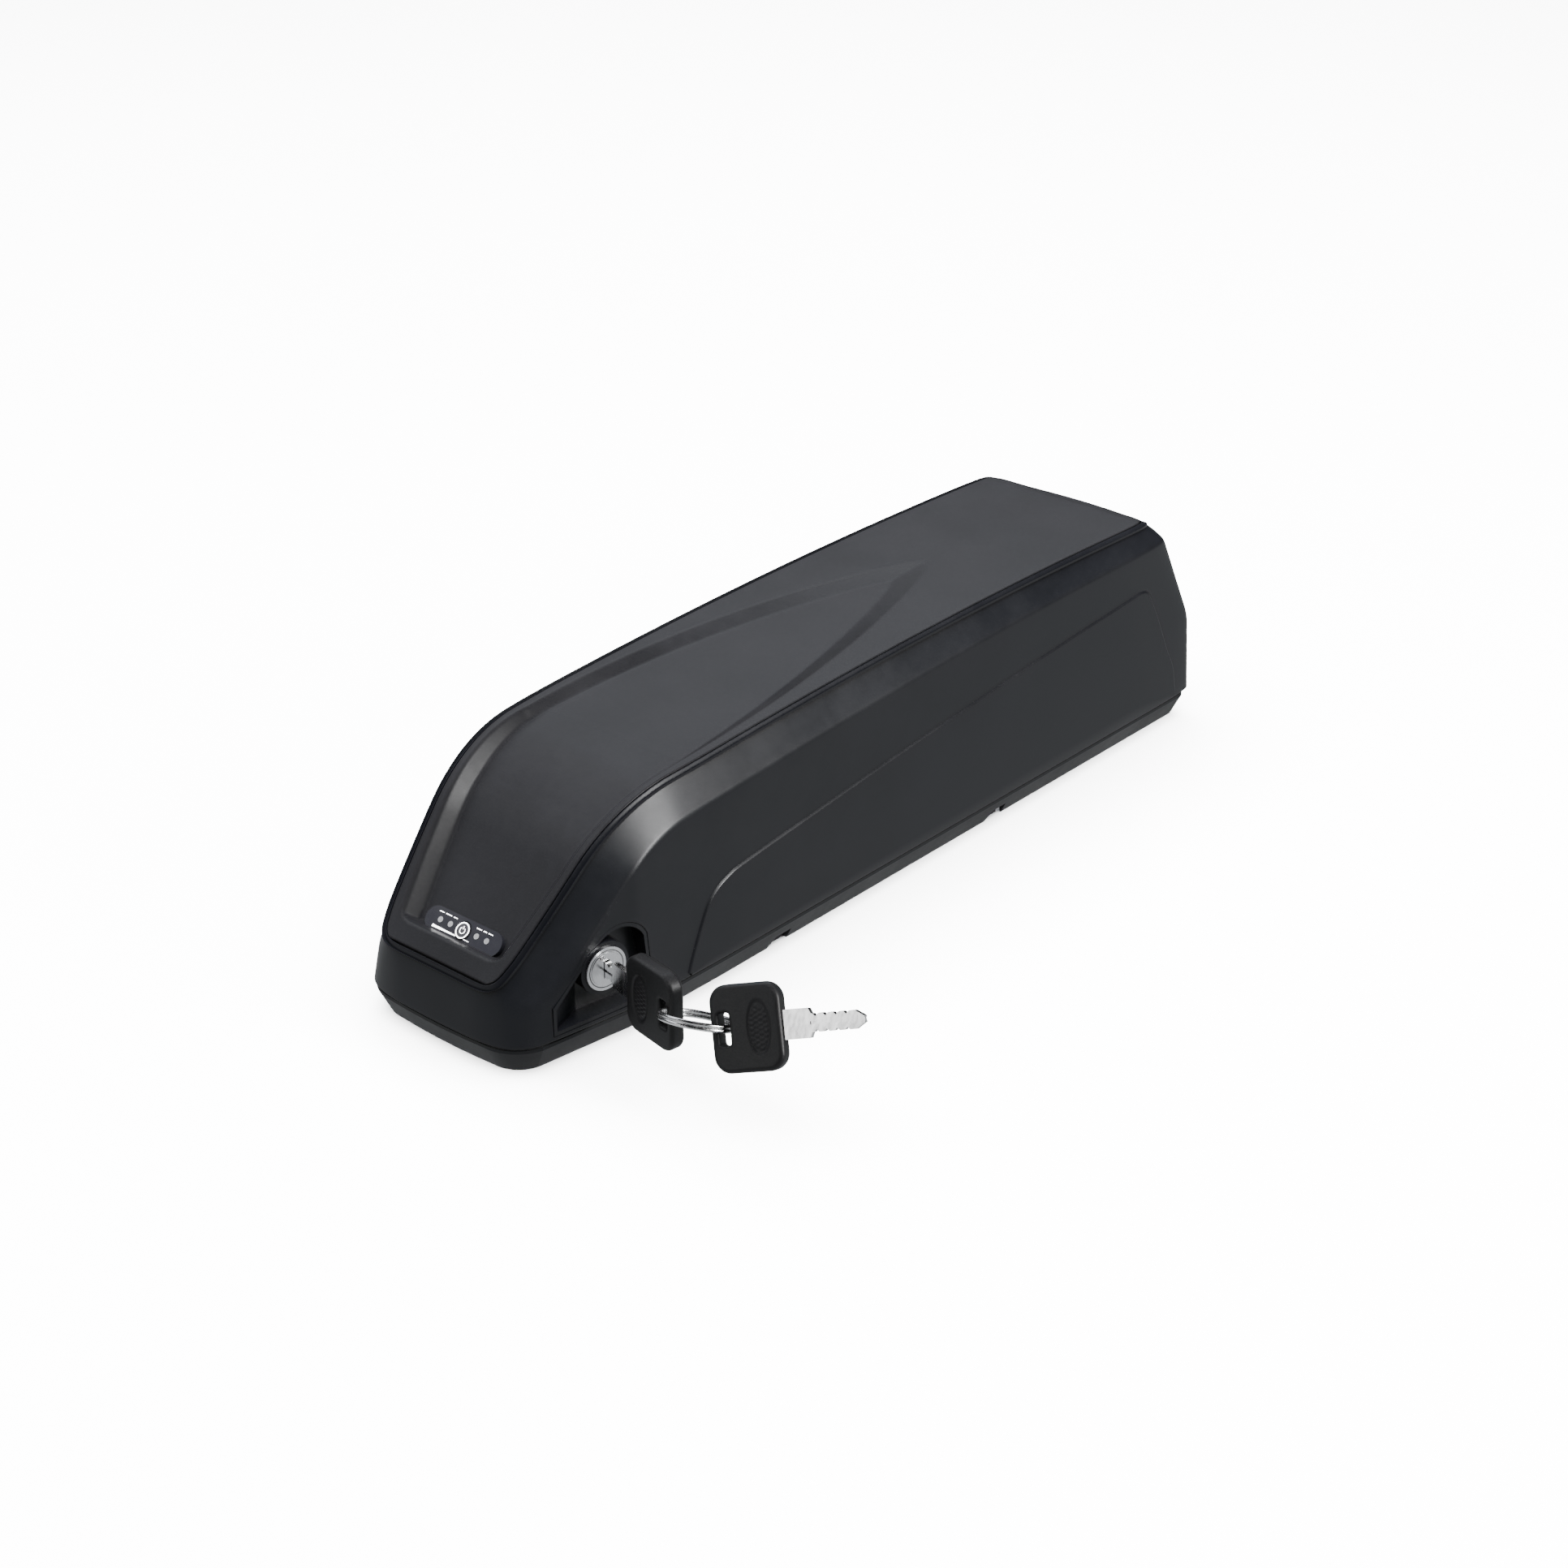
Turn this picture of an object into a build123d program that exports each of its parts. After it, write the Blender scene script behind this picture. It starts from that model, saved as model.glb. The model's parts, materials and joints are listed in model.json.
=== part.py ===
"""Down-tube battery pack with a key lock, modelled piece by piece.

Millimetres, +Z up. The nose with the lock points to -X, the tail to +X, and the lock is on the -Y side.
The origin is the middle of the underside. "d" is always a distance back from the nose tip.
"""
import math
import os

from build123d import *

# ---------------------------------------------------------------- driving dimensions
LENGTH = 367.0            # nose tip to tail
HALF_WIDTH = 44.4         # case side, without the raised side panel
PANEL_RAISE = 0.6         # raised side panel
SEAM_Z = 10.4             # lower edge of the case shell
TRAY_TOP = 9.6            # upper face of the bottom tray
WALL = 2.6                # case shell wall
COVER_WALL = 3.0          # top cover thickness
COVER_GAP = 0.2           # gap round the top cover
RIM_HALF_WIDTH = 37.0     # half width of the top cover
SLOPE_DEG = 45.7          # nose slope above the horizontal

CELL_R = 9.2              # 18650 cell
CELL_LENGTH = 65.0
CELL_PITCH = 20.0
CELL_COLUMNS = 13
CELL_ROWS = 3
CELL_FIRST_D = 85.0       # first column of cells
CELL_FIRST_Z = 23.6       # lowest row of cells

LOCK_D = 36.7             # lock face centre
LOCK_Y = -42.6
LOCK_Z = 29.6
LOCK_YAW = 10.0           # the lock faces 10 degrees towards the nose
PLUG_R = 5.8
PLUG_CLEARANCE = 0.05
BARREL_R = 7.6
BARREL_LENGTH = 27.0

CAM_THROW_R = 6.0         # cam pin radius about the plug axis
CAM_PIN_R = 1.5
BOLT_ROD_R = 3.5
BOLT_TRAVEL = 2 * CAM_THROW_R * math.sin(math.radians(45))

BOW_LENGTH = 24.0         # key bow along the blade
BOW_HEIGHT = 27.0
BOW_THICK = 5.4
BOW_START = 13.5          # lock face to the bow
BOW_SLOT_BACK = 4.6       # slot centre to the bow's far edge
RING_R = 12.0             # split ring
RING_WIRE_R = 0.7

BUTTON_R = 3.0
BUTTON_TRAVEL = 0.8

parts = {}


def at(d):
    """X of a point d behind the nose tip."""
    return d - LENGTH / 2


def box_between(low, high):
    size = [b - a for a, b in zip(low, high)]
    middle = [(a + b) / 2 for a, b in zip(low, high)]
    return Pos(*middle) * Box(*size)


def rod(start, end, radius):
    """Round bar from start to end."""
    start, end = Vector(*start), Vector(*end)
    axis = end - start
    return Plane(origin=start, z_dir=axis) * Cylinder(
        radius, axis.length, align=(Align.CENTER, Align.CENTER, Align.MIN))


# ---------------------------------------------------------------- outer form of the case
# Side sections, (d, z): front foot, slope end, bend middle, roof start, middle and end,
# tail shoulder middle and end, and the tail's widest point.
RIM_SECTION = [(3.0, 30.5), (36.0, 64.6), (56.0, 77.7), (84.0, 83.2), (205.0, 88.0), (334.0, 88.2),
               (341.5, 86.2), (346.0, 81.0), (366.4, 32.0)]
CREASE_SECTION = [(16.0, 24.5), (46.0, 56.5), (60.0, 66.4), (84.0, 70.8), (205.0, 77.8), (334.0, 80.3),
                  (340.5, 79.2), (344.0, 75.5), (366.2, 32.0)]
# The bevel on each side of the slope lies in one plane: its normal, and a point on it.
BEVEL_NORMAL = (-0.509, 0.792, 0.335)
BEVEL_POINT = (at(22.5), 30.3, 51.4)
TAIL_LEAN = (-20.0, 0, 49.0)
TAIL_UPRIGHT_Z = 32.0     # the tail is upright below this height and leans forward above it


def side_section(points, y, inset):
    foot, slope_end, bend, roof_a, roof_m, roof_b, tail_m, tail_a, tail_w = [
        (at(d), z) for d, z in points]
    front_low, tail_low = (at(0), SEAM_Z), (at(LENGTH), SEAM_Z)
    edges = [
        Line(front_low, foot), Line(foot, slope_end), ThreePointArc(slope_end, bend, roof_a),
        ThreePointArc(roof_a, roof_m, roof_b), ThreePointArc(roof_b, tail_m, tail_a),
        Line(tail_a, tail_w), Line(tail_w, tail_low), Line(tail_low, front_low)]
    face = make_face(edges)
    if inset:
        face = offset(face, -inset, kind=Kind.INTERSECTION)
    # Sketch x is along the case and sketch y is up.
    return Plane(origin=(0, y, 0), x_dir=(1, 0, 0), z_dir=(0, -1, 0)) * face


def plan_face(inset=0.0):
    w = HALF_WIDTH
    half = [((0.9, 22.0), (4.4, 32.4), (12.5, 38.0)), ((12.5, 38.0), (50.0, w - 0.7)),
            ((50.0, w - 0.7), (95.0, w)), ((95.0, w), (360.0, w)), ((360.0, w), (364.4, 42.7), (366.0, 38.6))]
    edges = [ThreePointArc((at(0.9), -22), (at(0), 0), (at(0.9), 22)),
             ThreePointArc((at(366.0), -38.6), (at(LENGTH), 0), (at(366.0), 38.6))]
    for run in half:
        for side in (1, -1):
            pts = [(at(d), side * y) for d, y in run]
            edges.append(ThreePointArc(*pts) if len(pts) == 3 else Line(*pts))
    face = make_face(edges)
    if inset:
        face = offset(face, -inset, kind=Kind.INTERSECTION)
    return face


def envelope(inset=0.0):
    """The case's outer form, or the same form with every wall moved inwards."""
    crease_y = HALF_WIDTH + 0.6 - inset
    rim_y = RIM_HALF_WIDTH - 0.5 * inset
    body = loft([side_section(CREASE_SECTION, -crease_y, inset), side_section(RIM_SECTION, -rim_y, inset),
                 side_section(RIM_SECTION, rim_y, inset), side_section(CREASE_SECTION, crease_y, inset)],
                ruled=True)
    body = body & extrude(plan_face(inset), 120)
    below = 44.0
    tail = Pos(-TAIL_LEAN[0] * below / TAIL_LEAN[2], 0, TAIL_UPRIGHT_Z - below) * plan_face(inset)
    tail = extrude(tail, 140, dir=TAIL_LEAN)
    reach = box_between((at(-5), -60, -20), (at(300), 60, 120))
    body = body & (tail + reach)
    for side in (1, -1):
        normal = Vector(BEVEL_NORMAL[0], side * BEVEL_NORMAL[1], BEVEL_NORMAL[2]).normalized()
        origin = Vector(BEVEL_POINT[0], side * BEVEL_POINT[1], BEVEL_POINT[2]) - normal * inset
        body -= Plane(origin=origin, z_dir=normal) * Box(
            300, 300, 100, align=(Align.CENTER, Align.CENTER, Align.MIN))
    return body


# ---------------------------------------------------------------- top cover and its scoop
SCOOP_DEPTH = 6.0
SLOPE = math.radians(SLOPE_DEG)
FOOT = Vector(at(3.0), 0, 30.5)
ALONG_SLOPE = Vector(math.cos(SLOPE), 0, math.sin(SLOPE))
OUT_OF_SLOPE = Vector(-math.sin(SLOPE), 0, math.cos(SLOPE))
SCOOP_START = 8.0         # front wall of the scoop, up the slope from the foot
LAMP_START = 13.0         # middle of the lamp panel, up the slope from the foot
LAMP_DEPTH = 4.6          # lamp panel below the rim


def on_slope(run, depth):
    """Point on the middle plane: run up the slope from the foot, depth below the rim surface."""
    return FOOT + ALONG_SLOPE * run - OUT_OF_SLOPE * depth


def cover_outline(grow=0.0):
    """Plan of the top cover: narrow at the foot, full width along the roof."""
    w = RIM_HALF_WIDTH
    edges = [ThreePointArc((at(336), w), (at(341), 0), (at(336), -w)), Line((at(-6), 24), (at(-6), -24))]
    for side in (1, -1):
        edges.append(ThreePointArc((at(-6), side * 24), (at(42), side * 33.8), (at(95), side * w)))
        edges.append(Line((at(95), side * w), (at(336), side * w)))
    face = make_face(edges)
    return offset(face, grow, kind=Kind.INTERSECTION) if grow else face


def cover_zone(grow=0.0):
    """Everything the top cover may fill: its plan, above a cut square to the slope at the foot."""
    low = on_slope(-grow, 12.0)
    high = on_slope(-grow, -40.0)
    side_view = make_face(Polyline(
        (low.X, low.Z), (at(330), 60), (at(345), 60), (at(345), 120), (at(-40), 120), (high.X, high.Z),
        close=True))
    plane = Plane(origin=(0, 60, 0), x_dir=(1, 0, 0), z_dir=(0, -1, 0))
    return extrude(cover_outline(grow), 130) & extrude(plane * side_view, 120)


def scoop(grow=0.0):
    """The recess: a deep pocket on the slope that runs out to a point on the roof."""
    half = [((7.0, 21.6), (36.0, 29.0), (75.0, 32.4)), ((75.0, 32.4), (184.0, 22.0), (248.0, 3.0))]
    edges = [Line((at(7), 21.6), (at(7), -21.6)),
             ThreePointArc((at(248), 3), (at(251.5), 0), (at(248), -3))]
    for run in half:
        for side in (1, -1):
            edges.append(ThreePointArc(*[(at(d), side * y) for d, y in run]))
    plan = make_face(edges)
    front_top = on_slope(SCOOP_START, -12.0)
    front_low = on_slope(SCOOP_START, SCOOP_DEPTH)
    slope_end = (at(40.5), 60.4)
    floor = [
        Line((front_top.X, front_top.Z), (front_low.X, front_low.Z)),
        Line((front_low.X, front_low.Z), slope_end),
        ThreePointArc(slope_end, (at(60), 74.4), (at(86), 80.8)),
        ThreePointArc((at(86), 80.8), (at(160), 84.7), (at(231), 86.9)),
        Line((at(231), 86.9), (at(256), 89.3)), Line((at(256), 89.3), (at(256), 120)),
        Line((at(256), 120), (front_top.X, 120)), Line((front_top.X, 120), (front_top.X, front_top.Z))]
    side_view = make_face(floor)
    if grow:
        plan = offset(plan, grow, kind=Kind.INTERSECTION)
        side_view = offset(side_view, grow, kind=Kind.INTERSECTION)
    plane = Plane(origin=(0, 60, 0), x_dir=(1, 0, 0), z_dir=(0, -1, 0))
    return extrude(plan, 130) & extrude(plane * side_view, 120)


def lamp_frame():
    """Plane of the lamp panel: local x towards -Y, local y up the slope, local z out of it."""
    return Plane(origin=on_slope(LAMP_START, LAMP_DEPTH), x_dir=(0, -1, 0), z_dir=OUT_OF_SLOPE)


def oblong(length, width, top, bottom):
    """Round-ended block in the lamp panel's frame."""
    return lamp_frame().offset(bottom) * extrude(SlotOverall(length, width), top - bottom)


LENS = (34.0, 8.4, 1.8)   # length, width, thickness
LAMP_X = (-11.8, -6.3, 6.3, 11.8)
LAMP_BOARD_Z = -5.7       # top of the lamp board below the lens surface

outer = envelope()
cover_body = (outer - envelope(COVER_WALL)) & cover_zone()
cover_tub = scoop(2.4) & outer & cover_zone()
lamp_block = oblong(LENS[0] + 3.6, LENS[1] + 2.6, 0.0, LAMP_BOARD_Z + 0.2) & scoop(2.0)
top_cover = cover_body + cover_tub - scoop() + lamp_block
top_cover -= oblong(LENS[0] + 0.3, LENS[1] + 0.3, 8.0, -LENS[2])
top_cover -= oblong(LENS[0] - 5.0, LENS[1] - 1.6, 0.0, -14.0)
parts["top_cover"] = top_cover

# ---------------------------------------------------------------- lamp panel
lens = oblong(LENS[0], LENS[1], 0.0, -LENS[2])
lens -= lamp_frame() * Cylinder(BUTTON_R + 0.3, 8)
parts["lamp_lens"] = lens
lamps = [
    lamp_frame() * Pos(x, 0, LAMP_BOARD_Z) * Cylinder(
        1.2, -LENS[2] - LAMP_BOARD_Z, align=(Align.CENTER, Align.CENTER, Align.MIN))
    for x in LAMP_X]
parts["charge_lamps"] = Compound(children=lamps)
lamp_board = lamp_frame() * Pos(0, 0, LAMP_BOARD_Z - 0.6) * Box(LENS[0] - 1, 10.4, 1.2)
parts["lamp_board"] = lamp_board
TACT_TOP = -4.5
parts["tact_switch"] = lamp_frame() * Pos(0, 0, (TACT_TOP + LAMP_BOARD_Z) / 2) * Box(
    4.4, 4.4, TACT_TOP - LAMP_BOARD_Z)
button = lamp_frame() * Pos(0, 0, -0.75) * Cylinder(BUTTON_R, 2.2)
button += lamp_frame() * Pos(0, 0, -2.25) * Cylinder(2.5, 0.9)
button += lamp_frame() * Pos(0, 0, -3.1) * Cylinder(0.9, 1.1)
parts["power_button"] = button

# ---------------------------------------------------------------- lock frame and lock pocket
YAW = math.radians(LOCK_YAW)
LOCK_OUT = Vector(-math.sin(YAW), -math.cos(YAW), 0)
LOCK_ALONG = Vector(math.cos(YAW), -math.sin(YAW), 0)
LOCK_FACE = Vector(at(LOCK_D), LOCK_Y, LOCK_Z)
LOCK = Plane(origin=LOCK_FACE, x_dir=LOCK_ALONG, z_dir=LOCK_OUT)


def pocket_outline(inset=0.0):
    """Arch round the lock, in the lock's frame: x towards the tail, y up."""
    edges = [
        Line((-20.6, -17.8), (-20.6, -7.6)), Line((-20.6, -7.6), (-3.4, 9.8)),
        ThreePointArc((-3.4, 9.8), (8.6, 13.2), (17.6, 6.0)), Line((17.6, 6.0), (20.4, -17.8)),
        Line((20.4, -17.8), (-20.6, -17.8))]
    face = make_face(edges)
    return offset(face, -inset, kind=Kind.INTERSECTION) if inset else face


POCKET_FLOOR = -8.0       # floor of the pocket behind the lock face
POCKET_WALL = 2.6         # wall behind that floor
POCKET_REACH = 60.0       # longer than any cut through the case side
COLLAR_R = 9.2            # raised collar round the lock
NUT_THICK = 3.2
pocket_hole = LOCK.offset(-24) * extrude(pocket_outline(), 44)
insert_fit = extrude(pocket_outline(0.2), POCKET_REACH)
insert_block = (LOCK.offset(POCKET_FLOOR - POCKET_WALL) * insert_fit) & envelope(0.15)
cavity_side = make_face(Polyline((-22, -0.2), (-7, POCKET_FLOOR), (24, POCKET_FLOOR), (24, 20), (-22, 20),
                                 close=True))
# The cavity's section is drawn in the lock's x and z, and runs through the arch's whole height.
section_plane = Plane(origin=LOCK_FACE + Vector(0, 0, 22), x_dir=LOCK_ALONG, z_dir=(0, 0, -1))
cavity = extrude(section_plane * cavity_side, 44)
cavity = cavity & (LOCK.offset(-20) * extrude(pocket_outline(1.5), POCKET_REACH))
lock_insert = insert_block - cavity
lock_insert += (LOCK * Pos(0, 0, -5.4) * Cylinder(COLLAR_R, 9.2)) & (LOCK.offset(-20) * insert_fit)
lock_insert -= LOCK * Cylinder(BARREL_R + 0.05, 80)
parts["lock_insert"] = lock_insert

# ---------------------------------------------------------------- lock
BARREL_BACK = -BARREL_LENGTH
KEYWAY = (2.4, 6.4)       # width, height
barrel = LOCK * Pos(0, 0, BARREL_BACK / 2) * Cylinder(BARREL_R, BARREL_LENGTH)
barrel -= LOCK * Cylinder(PLUG_R + PLUG_CLEARANCE, 80)
parts["lock_barrel"] = barrel
nut = LOCK.offset(POCKET_FLOOR - POCKET_WALL - 0.1 - NUT_THICK) * extrude(RegularPolygon(11.0, 6), NUT_THICK)
nut -= LOCK * Cylinder(BARREL_R, 80)
parts["lock_nut"] = nut
PLUG_BACK = BARREL_BACK - 1.2
plug = LOCK.offset(PLUG_BACK) * Cylinder(
    PLUG_R, 0.2 - PLUG_BACK, align=(Align.CENTER, Align.CENTER, Align.MIN))
plug -= LOCK.offset(-25.2) * Box(*KEYWAY, 40, align=(Align.CENTER, Align.CENTER, Align.MIN))
parts["lock_plug"] = plug

# At rest the cam pin stands 45 degrees above the tail side, and a turn of the key carries it down.
PIN_X = CAM_THROW_R * math.cos(math.radians(45))
CAM_THICK = 2.2
PIN_LENGTH = 4.4
CAM_LOW = PLUG_BACK - CAM_THICK
cam = LOCK.offset(CAM_LOW) * Cylinder(4.6, CAM_THICK, align=(Align.CENTER, Align.CENTER, Align.MIN))
cam += LOCK.offset(CAM_LOW) * Pos(PIN_X / 2, PIN_X / 2, CAM_THICK / 2) * Rot(0, 0, 45) * Box(
    CAM_THROW_R, 5.0, CAM_THICK)
cam += LOCK.offset(CAM_LOW) * Pos(PIN_X, PIN_X, CAM_THICK / 2) * Cylinder(2.5, CAM_THICK)
cam += LOCK.offset(CAM_LOW - PIN_LENGTH) * Pos(PIN_X, PIN_X, 0) * Cylinder(
    CAM_PIN_R, PIN_LENGTH + 0.5, align=(Align.CENTER, Align.CENTER, Align.MIN))
parts["lock_cam"] = cam

BOLT_X = (PIN_X + CAM_THROW_R) / 2
BOLT_Z = CAM_LOW - 2.2
BOLT_THICK = 3.0
SLOT_HALF_HEIGHT = CAM_PIN_R + 0.45
bolt_axis = LOCK_FACE + LOCK_ALONG * BOLT_X + LOCK_OUT * BOLT_Z
PLATE_LOW = -7.6
PLATE_HIGH = PIN_X + SLOT_HALF_HEIGHT + 2.0
BOLT_TIP_Z = 1.2
bolt = LOCK * Pos(BOLT_X, (PLATE_LOW + PLATE_HIGH) / 2, BOLT_Z) * Box(
    9.4, PLATE_HIGH - PLATE_LOW, BOLT_THICK)
bolt -= LOCK * Pos(BOLT_X, PIN_X, BOLT_Z) * Box(5.4, 2 * SLOT_HALF_HEIGHT, 20)
bolt += rod((bolt_axis.X, bolt_axis.Y, BOLT_TIP_Z),
            (bolt_axis.X, bolt_axis.Y, LOCK_Z + PLATE_LOW + 3), BOLT_ROD_R)
parts["lock_bolt"] = bolt

# ---------------------------------------------------------------- keys and ring
BLADE = (2.0, 5.6)        # thickness, height
BLADE_TIP = -13.5


def key_blade():
    """Blade along -z with its shoulder at the bow, drawn in (y, z) and as thick as x."""
    half = BLADE[1] / 2
    outline = [(-half, BLADE_TIP + 3), (-1.0, BLADE_TIP), (1.0, BLADE_TIP), (half, BLADE_TIP + 3)]
    cuts = 4
    for i in range(cuts):
        z = BLADE_TIP + 5.0 + 3.4 * i
        outline += [(half, z), (half - 0.9, z + 0.9), (half, z + 1.8)]
    outline += [(half, 4.0), (4.5, 4.8), (4.5, 20.0), (-4.5, 20.0), (-4.5, 4.8), (-half, 4.0)]
    for i in reversed(range(cuts)):
        z = BLADE_TIP + 5.0 + 3.4 * i
        outline += [(-half, z + 1.8), (-half + 0.9, z + 0.9), (-half, z)]
    plane = Plane(origin=(-BLADE[0] / 2, 0, 0), x_dir=(0, 1, 0), z_dir=(1, 0, 0))
    blade = extrude(plane * make_face(Polyline(*outline, close=True)), BLADE[0])
    for side in (1, -1):
        blade -= Pos(side * BLADE[0] / 2, 0, BLADE_TIP + 8) * Box(0.8, 1.0, 20)
    return blade


def key_bow():
    plane = Plane(origin=(-BOW_THICK / 2, 0, BOW_START + BOW_LENGTH / 2), x_dir=(0, 1, 0), z_dir=(1, 0, 0))
    outline = RectangleRounded(BOW_HEIGHT, BOW_LENGTH, 5.5)
    bow = extrude(plane * outline, BOW_THICK)
    bow = chamfer(bow.faces().sort_by(Axis.X)[0].edges() + bow.faces().sort_by(Axis.X)[-1].edges(), 0.9)
    slot_z = BOW_START + BOW_LENGTH - BOW_SLOT_BACK
    slot = Pos(0, 0, slot_z) * Box(BOW_THICK + 2, 10.0, 3.8)
    for side in (1, -1):
        flare = loft([Plane(origin=(side * (BOW_THICK / 2 - 0.8), 0, slot_z), z_dir=(side, 0, 0),
                            x_dir=(0, 1, 0)) * Rectangle(10.0, 3.8),
                      Plane(origin=(side * (BOW_THICK / 2 + 0.2), 0, slot_z), z_dir=(side, 0, 0),
                            x_dir=(0, 1, 0)) * Rectangle(11.4, 5.2)])
        slot += flare
    bow -= slot
    for side in (1, -1):
        face_plane = Plane(origin=(side * (BOW_THICK / 2 - 0.4), 0, BOW_START + 7.5), x_dir=(0, 1, 0),
                           z_dir=(side, 0, 0))
        bow -= extrude(face_plane * Ellipse(8.6, 4.0), 1)
    return bow - key_blade_room()


def key_blade_room():
    """Socket in the bow that the blade's shoulder fills."""
    return Pos(0, 0, (BOW_START - 1 + 20.0) / 2) * Box(BLADE[0], 9.0, 20.0 - BOW_START + 1)


def key_ring_loop():
    """Two turns of wire lying on each other."""
    loop = Pos(0, 0, RING_WIRE_R * 0.92) * Torus(RING_R, RING_WIRE_R)
    return loop + Pos(0, 0, -RING_WIRE_R * 0.92) * Torus(RING_R, RING_WIRE_R)


SLOT_OUT = BOW_START + BOW_LENGTH - BOW_SLOT_BACK
SLOT_POINT = LOCK_FACE + LOCK_OUT * SLOT_OUT
RING_REACH = Vector(0.02, -0.991, 0.135).normalized()
RING_NORMAL = Vector(-0.4085, -0.1313, -0.9033).normalized()
SPARE_POINT = SLOT_POINT + RING_REACH * (2 * RING_R)
SPARE_BLADE_DIR = Vector(0.318, -0.8995, 0.2995).normalized()
SPARE_UP = Vector(0.3016, 0.3955, 0.8675).normalized()
SPARE_SIDE = SPARE_BLADE_DIR.cross(SPARE_UP).normalized()
SPARE = Plane(origin=SPARE_POINT + SPARE_BLADE_DIR * SLOT_OUT, x_dir=SPARE_SIDE, z_dir=-SPARE_BLADE_DIR)

blade_shape = key_blade()
bow_shape = key_bow()
parts["key_blade"] = LOCK * blade_shape
parts["key_bow"] = LOCK * bow_shape
parts["spare_key_blade"] = SPARE * blade_shape
parts["spare_key_bow"] = SPARE * bow_shape
ring_centre = SLOT_POINT + RING_REACH * RING_R
parts["key_ring"] = Plane(origin=ring_centre, z_dir=RING_NORMAL) * key_ring_loop()

# ---------------------------------------------------------------- charge port on the far side
PORT_D = 343.0
PORT_Z = 27.0
PORT_OUT = Plane(origin=(at(PORT_D), 0, PORT_Z), x_dir=(1, 0, 0), z_dir=(0, 1, 0))
CAP_R = 8.4
RECESS_FLOOR = HALF_WIDTH - 1.6
HINGE_Y = HALF_WIDTH - 0.7
HINGE_Z = PORT_Z + CAP_R + 2.0


def port_disc(radius, low, high):
    return PORT_OUT.offset(low) * Cylinder(radius, high - low, align=(Align.CENTER, Align.CENTER, Align.MIN))


jack = port_disc(6.2, 22.0, RECESS_FLOOR) + port_disc(8.6, 37.6, 39.6)
jack -= port_disc(4.2, 28.0, 60.0)
parts["charge_jack"] = jack
parts["charge_pin"] = port_disc(1.05, 28.0, 40.0)
cap = port_disc(CAP_R, RECESS_FLOOR + 0.1, HALF_WIDTH + 0.3)
cap += port_disc(3.7, RECESS_FLOOR - 2.4, RECESS_FLOOR + 0.2)
cap += box_between((at(PORT_D) - 3, HINGE_Y - 0.6, PORT_Z + CAP_R - 2),
                   (at(PORT_D) + 3, HINGE_Y + 0.7, HINGE_Z))
cap += rod((at(PORT_D) - 3, HINGE_Y, HINGE_Z), (at(PORT_D) + 3, HINGE_Y, HINGE_Z), 1.05)
pin_start, pin_end = at(PORT_D) - 5, at(PORT_D) + 5
cap -= rod((pin_start, HINGE_Y, HINGE_Z), (pin_end, HINGE_Y, HINGE_Z), 0.55)
parts["charge_cap"] = cap
hinge_pin = rod((pin_start, HINGE_Y, HINGE_Z), (pin_end, HINGE_Y, HINGE_Z), 0.5)
parts["cap_hinge_pin"] = hinge_pin
port_recess = port_disc(CAP_R + 0.4, RECESS_FLOOR, 60.0) + box_between(
    (at(PORT_D) - 3.5, HINGE_Y - 1.5, PORT_Z), (at(PORT_D) + 3.5, 60, HINGE_Z + 1.6))

# ---------------------------------------------------------------- case shell
SCREWS = [(66.0, 36.9), (158.0, 36.9), (250.0, 36.9), (358.4, 16.0)]
POST_R = 3.0
POST_TOP = 24.0
screw_spots = [(at(d), side * y) for d, y in SCREWS for side in (1, -1)]
shell = outer - envelope(WALL)
shell -= extrude(Pos(0, 0, SEAM_Z - 1) * plan_face(WALL), WALL + 2)
shell -= cover_zone(COVER_GAP)
# A ledge inside the shell's upper edge carries the cover.
ledge_form = cover_zone(3.0) - envelope(COVER_WALL + 2.0) - scoop(2.8)
ledge = (envelope(COVER_WALL + 0.2) & ledge_form) & (
    extrude(cover_outline(WALL), 130) - extrude(cover_outline(-5.0), 130))
ledge += (envelope(WALL - 0.2) & ledge_form) & (
    extrude(cover_outline(WALL), 130) - extrude(cover_outline(0.3), 130))
shell += ledge
panel = [(72.5, SEAM_Z), (74.6, 18.0), (80.7, 31.7), (88.0, 39.4), (100.7, 42.8), (196.0, 53.5), (323.0, 64.2),
         (331.0, 63.6), (341.0, 48.5), (350.0, 29.0), (354.5, SEAM_Z)]
panel_plane = Plane(origin=(0, 70, 0), x_dir=(1, 0, 0), z_dir=(0, -1, 0))
panel_prism = extrude(panel_plane * make_face(Polyline(*[(at(d), z) for d, z in panel], close=True)), 140)
raised = extrude(offset(plan_face(), PANEL_RAISE), 100) & panel_prism
shell += raised - extrude(plan_face(1.0), 100)
shell -= pocket_hole
shell -= port_recess
shell -= port_disc(6.25, 0, 60)
shell -= hinge_pin
for x, y in screw_spots:
    web = (x, y + math.copysign(7, y)) if x < at(300) else (x + 7, y)
    low = (min(x, web[0]) - 1, min(y, web[1]) - 1, SEAM_Z)
    high = (max(x, web[0]) + 1, max(y, web[1]) + 1, POST_TOP)
    shell += (rod((x, y, SEAM_Z), (x, y, POST_TOP), POST_R) + box_between(low, high)) & outer
    shell -= rod((x, y, 0), (x, y, 22.5), 1.5)
parts["case_shell"] = shell

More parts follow.
